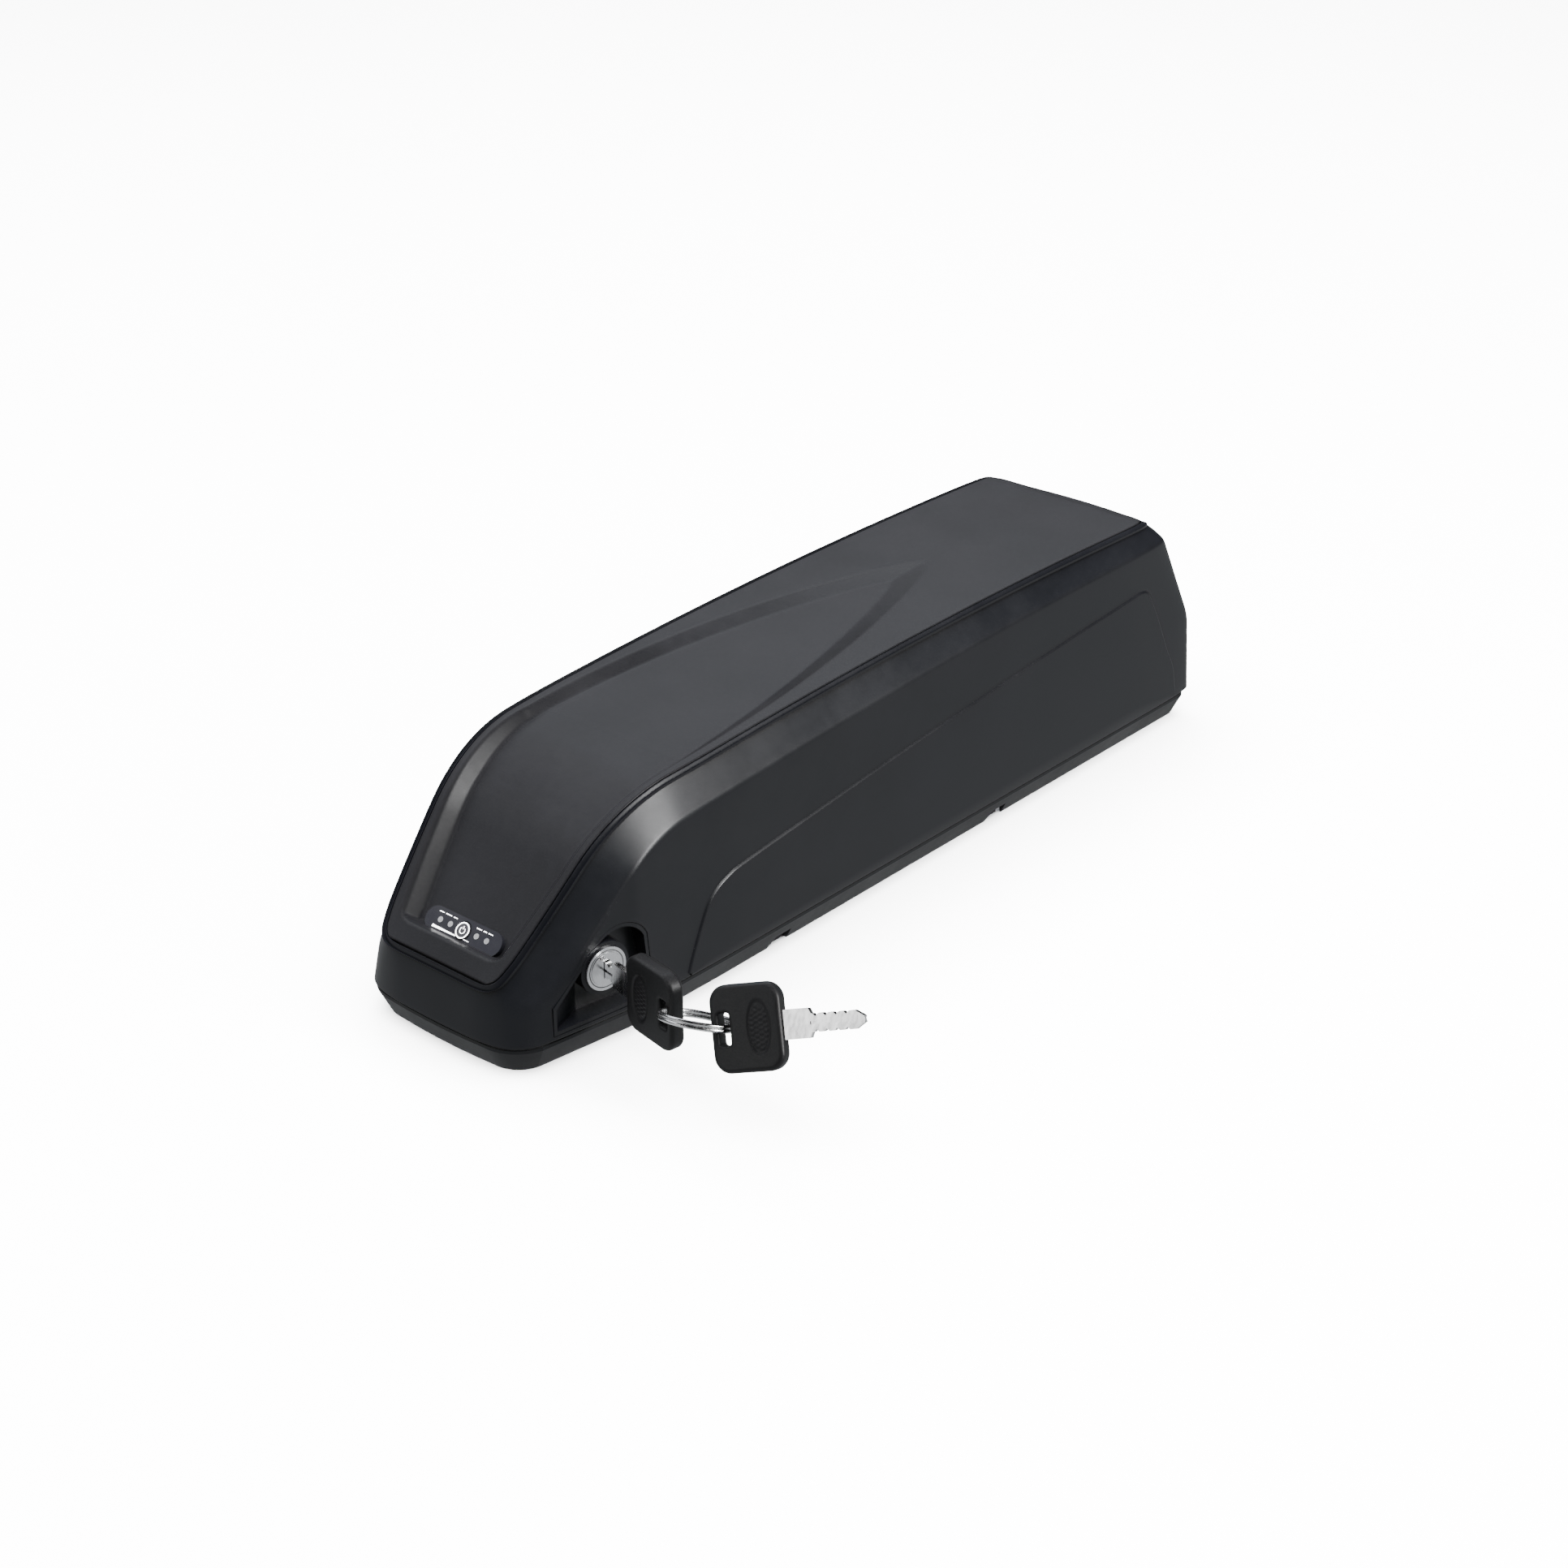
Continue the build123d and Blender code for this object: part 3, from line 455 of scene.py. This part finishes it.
def scoop_inner(d):
    wide = over_arc(d, (5.0, 16.8), (36.0, 25.6), (SCOOP_BEND, 30.4))
    narrow = blunt(d, INNER_TIP, [(SCOOP_BEND, 30.4), (160.0, 20.5), (INNER_TIP, 0.0)], 6.0, 2.8)
    return np.where(d < SCOOP_BEND, wide, np.where(d < INNER_TIP, narrow, -0.6 * (d - INNER_TIP)))


def scoop_depth(d):
    return np.interp(d, [0, 38, 50, 62, 74, 86, 160, INNER_TIP, OUTER_TIP],
                     [6.4, 6.4, 6.0, 5.0, 3.8, 2.9, 2.2, 1.3, 0.4])


def soft_step(x, width, r):
    """Ramp from 0 to 1 over a width, with both ends rounded over r each way."""
    def bend(v):
        return np.where(v < -r, 0, np.where(v > r, v, (v + r) ** 2 / (4 * r)))
    return np.clip((bend(x) - bend(x - width)) / width, 0, 1)


SCOOP_FRONT = 8.0         # run up the slope to the scoop's front wall


def cover_depth(d, y, run):
    """How far the cover's surface lies below the rim surface."""
    out, inn = scoop_outer(d), scoop_inner(d)
    width = np.maximum(out - inn, 0.5)
    side = soft_step(out - np.abs(y), width, np.minimum(0.7, width * 0.2))
    front = soft_step(run - SCOOP_FRONT, 2.2, 0.5)
    both = 1 - np.hypot(1 - side, 1 - front)
    return scoop_depth(d) * np.clip(both, 0, 1)


def cover_columns(d_edge, half_width):
    """Sideways positions of one row: floor, wall, rim strip and rounded edge."""
    out = min(max(float(scoop_outer(d_edge)), 1.2), half_width - 2.2)
    inn = min(max(float(scoop_inner(d_edge)), 0.6), out - 0.5)
    floor = np.linspace(0, inn - min(0.9, inn * 0.3), 24)
    wall = np.linspace(floor[-1], out + 0.7, 20)[1:]
    strip = np.linspace(wall[-1], half_width - 0.8, 6)[1:]
    edge = half_width - np.array([0.55, 0.35, 0.2, 0.09, 0.0])
    half = np.concatenate([floor, wall, strip, edge])
    return np.concatenate([-half[:0:-1], half])


TAIL_BULGE = 2.4          # the cover's tail edge bows out this far in the middle
BULGE_START = 300.0


def make_cover():
    rim = HALF_ROWS[0]
    corner = int(np.argmax(rim[:, 1] > 18.0))
    tail_corner = len(rim) - 1 - int(np.argmax(rim[::-1, 1] > 24.0))
    edge_d, edge_y = rim[corner:tail_corner + 1, 0], rim[corner:tail_corner + 1, 1]
    first, last = edge_d[0] + COVER_GAP, edge_d[-1] - COVER_GAP
    near = first + np.array([0, 0.06, 0.16, 0.3, 0.5, 0.8])
    slope = np.arange(first + 1.2, first + 15.0, 0.36)
    bend = np.arange(slope[-1] + 0.8, 90, 1.0)
    roof = np.arange(bend[-1] + 2, last - 4, 2.0)
    end = last - np.array([3.0, 2.0, 1.3, 0.8, 0.5, 0.3, 0.16, 0.06, 0.0])
    stations = np.concatenate([near, slope, bend, roof, end])
    verts = []
    for d_edge in stations:
        half_width = float(np.interp(d_edge, edge_d, edge_y)) - COVER_GAP
        y = cover_columns(d_edge, half_width)
        push = TAIL_BULGE * np.clip((d_edge - BULGE_START) / (last - BULGE_START), 0, 1)
        d = d_edge + push * (1 - (y / half_width) ** 2)
        run = rim_run(d)
        edge = np.minimum(half_width - np.abs(y), rim_run(d) - rim_run(first))
        edge = np.minimum(edge, last - d_edge)
        edge = np.clip(edge, 0, COVER_ROUND)
        fall = COVER_ROUND - np.sqrt(np.maximum(COVER_ROUND ** 2 - (COVER_ROUND - edge) ** 2, 0))
        drop = cover_depth(d, y, run) + fall
        nd, nz = rim_normal(d)
        verts.append(np.stack([d - nd * drop, y, rim_height(d) - nz * drop], axis=1))
    grid = np.array(verts)
    rows, columns = grid.shape[:2]
    obj = make_object("cover_skin", to_metres(grid.reshape(-1, 3)), grid_faces(rows, columns, flip=True))
    outward(obj)
    apply_modifier(obj, "SOLIDIFY", thickness=COVER_THICK * MM, offset=-1, use_even_offset=False)
    return obj


# ---------------------------------------------------------------- openings in the case
def pocket_outline():
    """Arch round the lock in the lock's frame, x towards the tail and y up."""
    arch = np.linspace(-3.4, 17.6, 22)
    top = over_arc(arch, (-3.4, 9.8), (8.6, 13.2), (17.6, 6.0))
    return [(-20.6, -17.8), (-20.6, -7.6), *zip(arch, top), (20.4, -17.8)]


def circle(radius, count=48):
    return [(radius * math.cos(a), radius * math.sin(a)) for a in np.linspace(0, 2 * math.pi, count, False)]


PORT = Vector((343.0 - LENGTH / 2, 43.0, 27.0))
PORT_R = 8.8
HINGE_SLOT = [(-3.5, 0.0), (3.5, 0.0), (3.5, 12.0), (-3.5, 12.0)]


def open_port(obj):
    """Round opening for the charge cap with a slot above it for the hinge."""
    axes = Vector((-1, 0, 0)), Vector((0, 0, 1))
    for outline in (circle(PORT_R), HINGE_SLOT):
        open_hole(obj, outline, PORT, *axes, (-8.0, 8.0))


# ---------------------------------------------------------------- materials
def node_tree(name):
    material = bpy.data.materials.new(name)
    material.use_nodes = True
    tree = material.node_tree
    return material, tree, tree.nodes["Principled BSDF"]


def add(tree, kind, links=(), **values):
    node = tree.nodes.new(kind)
    for key, value in values.items():
        if key in node.inputs:
            node.inputs[key].default_value = value
        else:
            setattr(node, key.lower(), value)
    for socket, source in links:
        tree.links.new(source, node.inputs[socket])
    return node


def noise(tree, coords, scale, detail=3.0, rough=0.5):
    return add(tree, "ShaderNodeTexNoise", [("Vector", coords)], Scale=scale, Detail=detail, Roughness=rough)


def spread(tree, value, low, high, start=0.3, stop=0.7):
    node = add(tree, "ShaderNodeMapRange", [("Value", value)])
    for key, number in zip(("From Min", "From Max", "To Min", "To Max"), (start, stop, low, high)):
        node.inputs[key].default_value = number
    return node.outputs["Result"]


def tinted(tree, factor, dark, light):
    """Colour between dark and light."""
    node = add(tree, "ShaderNodeMix", data_type="RGBA")
    tree.links.new(factor, node.inputs[0])
    ends = {"A": dark, "B": light}
    for socket in node.inputs:
        if socket.type == "RGBA":
            socket.default_value = (*ends[socket.name], 1)
    return node.outputs[2]


def moulded(name, dark, light, rough, grain=2600.0, grain_bump=0.06, specular=0.3):
    """Moulded or painted surface: slow mottling and faint scuffs in colour and gloss, fine grain in bump."""
    material, tree, shader = node_tree(name)
    coords = add(tree, "ShaderNodeTexCoord").outputs["Object"]
    slow = noise(tree, coords, 26.0, 4.0).outputs["Fac"]
    fine = noise(tree, coords, grain, 2.0, 0.6).outputs["Fac"]
    scuff = noise(tree, coords, 210.0, 6.0, 0.7).outputs["Fac"]
    blend = add(tree, "ShaderNodeMath", operation="ADD")
    tree.links.new(slow, blend.inputs[0])
    scuffs = add(tree, "ShaderNodeMath", operation="MULTIPLY")
    tree.links.new(scuff, scuffs.inputs[0])
    scuffs.inputs[1].default_value = 0.35
    tree.links.new(scuffs.outputs[0], blend.inputs[1])
    tree.links.new(tinted(tree, spread(tree, blend.outputs[0], 0, 1, 0.5, 0.85), dark, light),
                   shader.inputs["Base Color"])
    gloss = spread(tree, blend.outputs[0], rough[0], rough[1], 0.5, 0.85)
    tree.links.new(gloss, shader.inputs["Roughness"])
    bump = add(tree, "ShaderNodeBump", [("Height", fine)], Strength=grain_bump, Distance=0.0002)
    tree.links.new(bump.outputs["Normal"], shader.inputs["Normal"])
    shader.inputs["Specular IOR Level"].default_value = specular
    return material


def brushed(name, dark, light, rough):
    """Metal with fine directional brushing and slight tarnish."""
    material, tree, shader = node_tree(name)
    coords = add(tree, "ShaderNodeTexCoord").outputs["Object"]
    stretch = add(tree, "ShaderNodeMapping", [("Vector", coords)])
    stretch.inputs["Scale"].default_value = (900.0, 900.0, 40.0)
    lines = noise(tree, stretch.outputs["Vector"], 1.0, 4.0).outputs["Fac"]
    stain = noise(tree, coords, 120.0, 4.0).outputs["Fac"]
    tree.links.new(tinted(tree, spread(tree, stain, 0, 1), dark, light), shader.inputs["Base Color"])
    tree.links.new(spread(tree, lines, rough[0], rough[1]), shader.inputs["Roughness"])
    bump = add(tree, "ShaderNodeBump", [("Height", lines)], Strength=0.05, Distance=0.0001)
    tree.links.new(bump.outputs["Normal"], shader.inputs["Normal"])
    shader.inputs["Metallic"].default_value = 1.0
    return material


# Slot: darkest and lightest colour, lowest and highest roughness, then what differs from the usual.
MOULDED = {
    "case_plastic": ((0.0016, 0.0017, 0.0022), (0.0022, 0.0023, 0.0029), (0.34, 0.41), {}),
    "cover_plastic": ((0.0024, 0.0024, 0.0027), (0.0032, 0.0032, 0.0036), (0.34, 0.41),
                      {"grain": 2200.0, "grain_bump": 0.10, "specular": 0.12}),
    "tray_plastic": ((0.0014, 0.0015, 0.0018), (0.0020, 0.0021, 0.0025), (0.45, 0.55), {}),
    "gasket_rubber": ((0.006, 0.006, 0.006), (0.010, 0.010, 0.010), (0.6, 0.75), {}),
    "lens_plastic": ((0.003, 0.003, 0.004), (0.006, 0.006, 0.007), (0.10, 0.16),
                     {"grain_bump": 0.0, "specular": 0.12}),
    "button_plastic": ((0.006, 0.006, 0.007), (0.012, 0.012, 0.013), (0.2, 0.3), {}),
    "lamp_plastic": ((0.20, 0.21, 0.22), (0.30, 0.31, 0.32), (0.3, 0.4), {}),
    "circuit_board": ((0.010, 0.06, 0.03), (0.02, 0.10, 0.05), (0.3, 0.45), {}),
    "key_plastic": ((0.0014, 0.0014, 0.0015), (0.0020, 0.0020, 0.0022), (0.40, 0.52),
                    {"grain": 3200.0, "grain_bump": 0.18}),
    "black_parts": ((0.010, 0.010, 0.011), (0.018, 0.018, 0.019), (0.4, 0.55), {}),
    "holder_plastic": ((0.03, 0.03, 0.032), (0.05, 0.05, 0.053), (0.5, 0.6), {}),
    "cell_wrap": ((0.03, 0.16, 0.27), (0.05, 0.22, 0.35), (0.25, 0.35), {}),
    "foam": ((0.02, 0.02, 0.022), (0.05, 0.05, 0.053), (0.85, 0.95), {"grain": 900.0, "grain_bump": 0.8}),
    "fuse_glass": ((0.55, 0.53, 0.45), (0.70, 0.68, 0.60), (0.3, 0.4), {}),
    "lead_insulation": ((0.28, 0.02, 0.015), (0.40, 0.035, 0.025), (0.4, 0.5), {}),
    "print_white": ((0.62, 0.62, 0.62), (0.75, 0.75, 0.75), (0.5, 0.6), {}),
    "print_grey": ((0.05, 0.05, 0.052), (0.08, 0.08, 0.083), (0.3, 0.4), {}),
}
BRUSHED = {
    "lock_chrome": ((0.62, 0.62, 0.63), (0.80, 0.80, 0.81), (0.16, 0.30)),
    "steel": ((0.40, 0.40, 0.42), (0.60, 0.60, 0.62), (0.25, 0.42)),
    "key_steel": ((0.70, 0.70, 0.70), (0.86, 0.86, 0.86), (0.18, 0.32)),
    "contact_brass": ((0.62, 0.45, 0.20), (0.80, 0.62, 0.32), (0.22, 0.35)),
    "nickel": ((0.58, 0.57, 0.53), (0.72, 0.71, 0.68), (0.28, 0.4)),
    "heat_spreader": ((0.60, 0.60, 0.62), (0.75, 0.75, 0.77), (0.3, 0.45)),
}


def make_materials():
    made = {name: moulded(name, *look, **extra) for name, (*look, extra) in MOULDED.items()}
    made.update({name: brushed(name, *look) for name, look in BRUSHED.items()})
    return made


materials = make_materials()
for part in frame["record"]["subparts"]:
    if part["node"] in nodes:
        mesh = nodes[part["node"]].data
        mesh.materials.clear()
        mesh.materials.append(materials[part["material_slot"]])


def dress(obj, material, body):
    obj.data.materials.clear()
    obj.data.materials.append(materials[material])
    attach(obj, body)


# ---------------------------------------------------------------- build
case = make_case()
outward(case)
tree = BVHTree.FromObject(case, bpy.context.evaluated_depsgraph_get())
for side in (1, -1):
    panel = side_panel(tree, side)
    outward(panel)
    if side > 0:
        open_port(panel)
    apply_modifier(panel, "SOLIDIFY", thickness=0.9 * MM, offset=-1)
    soften(panel)
    dress(panel, "case_plastic", "case")
open_hole(case, pocket_outline(), LOCK_FACE, LOCK_ALONG, Vector((0, 0, 1)), (-14.0, 20.0))
open_port(case)
apply_modifier(case, "SOLIDIFY", thickness=SHELL_THICK * MM, offset=-1)
soften(case)
dress(case, "case_plastic", "case")
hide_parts("case_shell")

cover = make_cover()
dress(cover, "cover_plastic", "case")
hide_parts("top_cover")


# ---------------------------------------------------------------- lamp panel marks
LAMP_TILT = math.radians(45.7)
LAMP_RUN = 13.0           # middle of the lamp panel, up the slope from the foot
LAMP_SINK = 4.6           # lamp panel below the rim
LAMP_ACROSS = Vector((0, -1, 0))
LAMP_UP = Vector((math.cos(LAMP_TILT), 0, math.sin(LAMP_TILT)))
LAMP_OUT = LAMP_ACROSS.cross(LAMP_UP)
LAMP_ORIGIN = Vector((FOOT[0] - LENGTH / 2, 0, FOOT[1])) + LAMP_UP * LAMP_RUN - LAMP_OUT * LAMP_SINK
LAMP_AXES = (LAMP_ORIGIN, LAMP_ACROSS, LAMP_UP)
LOCK_AXES = (LOCK_FACE, LOCK_ALONG, Vector((0, 0, 1)))
BUTTON_TOP = 0.35         # above the lens
PRINT = 0.05              # thickness of a printed mark
DASHES = ((-12.4, -10.4), (-9.6, -6.9), (-6.1, -4.3), (4.6, 6.9), (7.7, 9.2), (9.9, 12.0))
STROKES = ((-3.6, 1.2, 3.4), (-2.7, -0.2, 4.6), (2.7, 0.4, 4.2), (3.7, -0.9, 2.6))


def band(name, closed, sections, origin, x_axis, y_axis):
    """Solid band through sections of (x, y, height) points in a plane's frame, joined up or capped."""
    out_axis = x_axis.cross(y_axis)
    verts = [(origin + x_axis * x + y_axis * y + out_axis * h) * MM for ring in sections for x, y, h in ring]
    n, m = len(sections), len(sections[0])
    faces = []
    for i in range(n if closed else n - 1):
        for j in range(m):
            a, b = i * m + j, i * m + (j + 1) % m
            c, d = (i + 1) % n * m + (j + 1) % m, (i + 1) % n * m + j
            faces.append((a, b, c, d))
    if not closed:
        faces += [tuple(range(m))[::-1], tuple((n - 1) * m + j for j in range(m))]
    obj = make_object(name, verts, faces, smooth=False)
    weld(obj, 1e-9)
    return obj


def ring_mark(name, axes, radius, width, base=0.0, arc=(0, 360), place=(0, 0)):
    """Thin printed ring, or part of one."""
    whole = arc[1] - arc[0] >= 360
    angles = np.radians(np.linspace(arc[0], arc[1], 73))
    if whole:
        angles = angles[:-1]
    inner, outer, top = radius - width / 2, radius + width / 2, base + PRINT
    sections = []
    for a in angles:
        c, s = math.cos(a), math.sin(a)
        sections.append([(place[0] + r * c, place[1] + r * s, h)
                         for r, h in ((inner, base), (outer, base), (outer, top), (inner, top))])
    return band(name, whole, sections, *axes)


def bar_mark(name, axes, x0, x1, y, widths, base=0.0):
    """Thin printed bar, with its width at each end."""
    top = base + PRINT
    sections = []
    for x in np.linspace(x0, x1, 13):
        w = np.interp(x, [x0, x1], widths) / 2
        sections.append([(x, y - w, base), (x, y + w, base), (x, y + w, top), (x, y - w, top)])
    return band(name, False, sections, *axes)


def lamp_marks():
    """Plain marks on the lens and the power button: bar, dots, dashes and a power symbol."""
    bar = bar_mark("lamp_bar", LAMP_AXES, -12.6, 4.4, -2.5, (0.85, 0.12))
    dress(bar, "print_white", "case")
    for i, x in enumerate((-10.6, -6.0, 6.0, 10.6)):
        dot = ring_mark(f"lamp_window_{i + 1}", LAMP_AXES, 0.5, 1.0, place=(x, 0.2))
        dress(dot, "print_grey", "case")
    for i, (x0, x1) in enumerate(DASHES):
        dash = bar_mark(f"lamp_tick_{i + 1}", LAMP_AXES, x0, x1, 2.7, (0.3, 0.3))
        dress(dash, "print_white", "case")
    symbol = [ring_mark("button_ring", LAMP_AXES, 2.55, 0.42, BUTTON_TOP),
              ring_mark("button_icon_arc", LAMP_AXES, 1.05, 0.26, BUTTON_TOP, arc=(130, 410)),
              bar_mark("button_icon_stem", LAMP_AXES, -0.13, 0.13, 0.95, (1.1, 1.1), BUTTON_TOP)]
    for mark in symbol:
        dress(mark, "print_white", "button")


def lock_marks():
    """Black ring painted as the shade in the gap round the plug's face, and plain strokes on either side of
    the keyway.
    """
    # The gap round the plug is a thin black ring on the lock face: painted shade, not a real gap.
    marks = [ring_mark("lock_gap_shade", LOCK_AXES, 6.5, 0.3)]
    for i, (x, y, tall) in enumerate(STROKES):
        marks.append(bar_mark(f"lock_stroke_{i + 1}", LOCK_AXES, x - 0.38, x + 0.38, y, (tall, tall)))
    for mark in marks:
        dress(mark, "black_parts", "plug")


lamp_marks()
lock_marks()


# ---------------------------------------------------------------- key bows
BOW_START, BOW_LONG, BOW_TALL, BOW_THICK = 13.5, 24.0, 27.0, 5.4
BOW_EDGE = 1.5            # round along the bow's edges
SLOT_EDGE = 0.9
SLOT_Z = BOW_START + BOW_LONG - 4.6
# Rounded rectangles as (y centre, z centre, half height, half length, corner radius).
BOW_BOX = (0.0, BOW_START + BOW_LONG / 2, BOW_TALL / 2, BOW_LONG / 2, 5.5)
SLOT_BOX = (0.0, SLOT_Z, 5.0, 1.9, 1.0)
PATCH_Z, PATCH_TALL, PATCH_WIDE = BOW_START + 7.5, 8.6, 4.0
PATCH_DEPTH = 0.35
RIB_PITCH = (1.5, 3.1)    # across and along the patch
RIB_HEIGHT = 0.26
LOOP_POINTS = 200


def box_distance(y, z, box):
    """Signed distance to a rounded rectangle, positive inside."""
    cy, cz, half_y, half_z, corner = box
    qy = np.abs(y - cy) - half_y + corner
    qz = np.abs(z - cz) - half_z + corner
    outside = np.hypot(np.maximum(qy, 0), np.maximum(qz, 0))
    return corner - outside - np.minimum(np.maximum(qy, qz), 0)


def loop_round(box):
    """Points on a rounded rectangle's outline, evenly spaced by angle from the slot's centre."""
    loop = []
    for a in np.linspace(0, 2 * math.pi, LOOP_POINTS, endpoint=False):
        low, high = 0.0, 60.0
        for _ in range(40):
            mid = (low + high) / 2
            inside = box_distance(mid * math.cos(a), SLOT_Z + mid * math.sin(a), box)
            low, high = (mid, high) if inside > 0 else (low, mid)
        loop.append((low * math.cos(a), SLOT_Z + low * math.sin(a)))
    return np.array(loop)


def bow_half_thickness(y, z):
    """Half thickness of the bow: rounded edges, softened slot, and a ribbed oval patch."""
    half = np.full_like(y, BOW_THICK / 2)
    for gap, r in ((box_distance(y, z, BOW_BOX), BOW_EDGE), (-box_distance(y, z, SLOT_BOX), SLOT_EDGE)):
        inside = np.clip(gap, 0, r)
        half -= r - np.sqrt(np.maximum(r * r - (r - inside) ** 2, 0))
    oval = 1 - np.hypot(y / PATCH_TALL, (z - PATCH_Z) / PATCH_WIDE)
    depth = np.clip(oval * 12, 0, 1) * PATCH_DEPTH
    field = np.clip((oval - 0.16) * 14, 0, 1)
    across, along = y * 2 * math.pi / RIB_PITCH[0], (z - PATCH_Z) * 2 * math.pi / RIB_PITCH[1]
    ribs = 0.5 + 0.5 * np.sin(across) * np.sin(along)
    return half - depth + field * RIB_HEIGHT * np.clip(ribs * 2.4 - 0.7, 0, 1)


def bow_mesh(name, to_frame):
    """Key bow from its slot out to its rim on both faces, joined round the rim and through the slot."""
    inner, outer = loop_round(SLOT_BOX), loop_round(BOW_BOX)
    share = np.concatenate([[0, 0.02, 0.05, 0.1], np.linspace(0.14, 0.84, 42),
                            [0.88, 0.915, 0.94, 0.96, 0.975, 0.987, 0.995, 1.0]])
    verts = []
    for side, order in ((1, share), (-1, share[::-1])):
        for t in order:
            ring = inner + (outer - inner) * t
            half = bow_half_thickness(ring[:, 0], ring[:, 1])
            verts += [to_frame(side * h, y, z) for h, (y, z) in zip(half, ring)]
    rows = 2 * len(share)
    faces = []
    for i in range(rows):
        a, b = i * LOOP_POINTS, (i + 1) % rows * LOOP_POINTS
        for j in range(LOOP_POINTS):
            k = (j + 1) % LOOP_POINTS
            faces.append((a + j, b + j, b + k, a + k))
    obj = make_object(name, verts, faces)
    weld(obj, 1e-8)
    soften(obj, 50)
    return obj


def lock_frame(x, y, z):
    """From a key's own frame, z out of the lock, to the key in the lock."""
    p = LOCK_FACE + LOCK_ALONG * x + Vector((0, 0, 1)) * y + LOCK_OUT * z
    return tuple(p * MM)


SPARE_BLADE_DIR = Vector((0.318, -0.8995, 0.2995)).normalized()
SPARE_UP = Vector((0.3016, 0.3955, 0.8675)).normalized()
SPARE_SIDE = SPARE_BLADE_DIR.cross(SPARE_UP).normalized()
RING_REACH = Vector((0.02, -0.991, 0.135)).normalized()
RING_DIAMETER = 24.0
SPARE_SLOT = LOCK_FACE + LOCK_OUT * SLOT_Z + RING_REACH * RING_DIAMETER


def spare_frame(x, y, z):
    """From a key's own frame to the spare key on the ring."""
    out = -SPARE_BLADE_DIR
    up = out.cross(SPARE_SIDE)
    p = SPARE_SLOT + SPARE_SIDE * x + up * y + out * (z - SLOT_Z)
    return tuple(p * MM)


for body, name, to_frame in (("key", "key_bow", lock_frame), ("spare_key", "spare_key_bow", spare_frame)):
    bow = bow_mesh(name + "_skin", to_frame)
    dress(bow, "key_plastic", body)
    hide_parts(name)


# ---------------------------------------------------------------- floor, light and camera
FLOOR_REACH = 6.0         # metres from the middle to the floor's edge


def make_floor():
    """Pale floor that the case neither mirrors nor takes bounced light from."""
    size = FLOOR_REACH
    floor = make_object("floor", [(-size, -size, 0), (size, -size, 0), (size, size, 0), (-size, size, 0)],
                        [(0, 1, 2, 3)], smooth=False)
    material, tree, shader = node_tree("floor_white")
    coords = add(tree, "ShaderNodeTexCoord").outputs["Object"]
    soft = noise(tree, coords, 3.0, 2.0).outputs["Fac"]
    tree.links.new(tinted(tree, soft, (0.90, 0.90, 0.90), (0.93, 0.93, 0.93)), shader.inputs["Base Color"])
    shader.inputs["Roughness"].default_value = 0.6
    floor.data.materials.append(material)
    floor.visible_glossy = False
    floor.visible_diffuse = False


def area_light(name, place, target, size, power, colour=(1, 1, 1)):
    data = bpy.data.lights.new(name, "AREA")
    data.shape = "RECTANGLE"
    data.size, data.size_y = size
    data.energy = power
    data.color = colour
    obj = bpy.data.objects.new(name, data)
    bpy.context.scene.collection.objects.link(obj)
    obj.location = place
    obj.rotation_mode = "QUATERNION"
    obj.rotation_quaternion = (Vector(target) - Vector(place)).to_track_quat("-Z", "Y")
    return obj


def make_light():
    """World bright below the horizon and dark above, a ceiling that isn't mirrored, and three softboxes.

    They stand behind the pack, on the lock side facing the nose bend, and ahead of the nose.
    """
    world = bpy.data.worlds.new("studio")
    bpy.context.scene.world = world
    world.use_nodes = True
    tree = world.node_tree
    direction = add(tree, "ShaderNodeTexCoord").outputs["Generated"]
    height = add(tree, "ShaderNodeSeparateXYZ", [("Vector", direction)]).outputs["Z"]
    share = spread(tree, height, 0.0, 1.0, -1.0, 1.0)
    ramp = add(tree, "ShaderNodeValToRGB", [("Fac", share)])
    stops = [(0.0, 0.8), (0.36, 0.66), (0.47, 0.10), (0.56, 0.015), (1.0, 0.015)]
    for position, _ in stops[2:]:
        ramp.color_ramp.elements.new(position)
    for element, (position, level) in zip(ramp.color_ramp.elements, stops):
        element.position = position
        element.color = (level * 0.94, level * 0.97, level, 1)
    tree.links.new(ramp.outputs["Color"], tree.nodes["Background"].inputs["Color"])
    ceiling = area_light("ceiling_light", (0.0, 0.0, 2.2), (0, 0, 0.0), (3.6, 3.6), 1450)
    ceiling.visible_glossy = False
    area_light("back_light", (0.3, 1.4, 1.55), (0, 0, 0.05), (4.4, 1.2), 33, (0.90, 0.94, 1))
    area_light("bend_light", (0.24, -1.25, 0.52), (-0.13, -0.03, 0.07), (0.24, 0.45), 32)
    area_light("nose_light", (-1.7, 0.35, 0.5), (-0.15, -0.1, 0.03), (0.7, 0.5), 4)


def make_camera():
    data = bpy.data.cameras.new("camera")
    data.sensor_width = 36.0
    data.lens = 64.49
    obj = bpy.data.objects.new("camera", data)
    bpy.context.scene.collection.objects.link(obj)
    azimuth, elevation = math.radians(-49.09), math.radians(27.26)
    back = Vector((math.sin(azimuth) * math.cos(elevation), -math.cos(azimuth) * math.cos(elevation),
                   math.sin(elevation)))
    obj.location = Vector((-685.9, -583.9, 487.8)) * MM
    obj.rotation_mode = "QUATERNION"
    obj.rotation_quaternion = (-back).to_track_quat("-Z", "Y")
    bpy.context.scene.camera = obj


make_floor()
make_light()
make_camera()
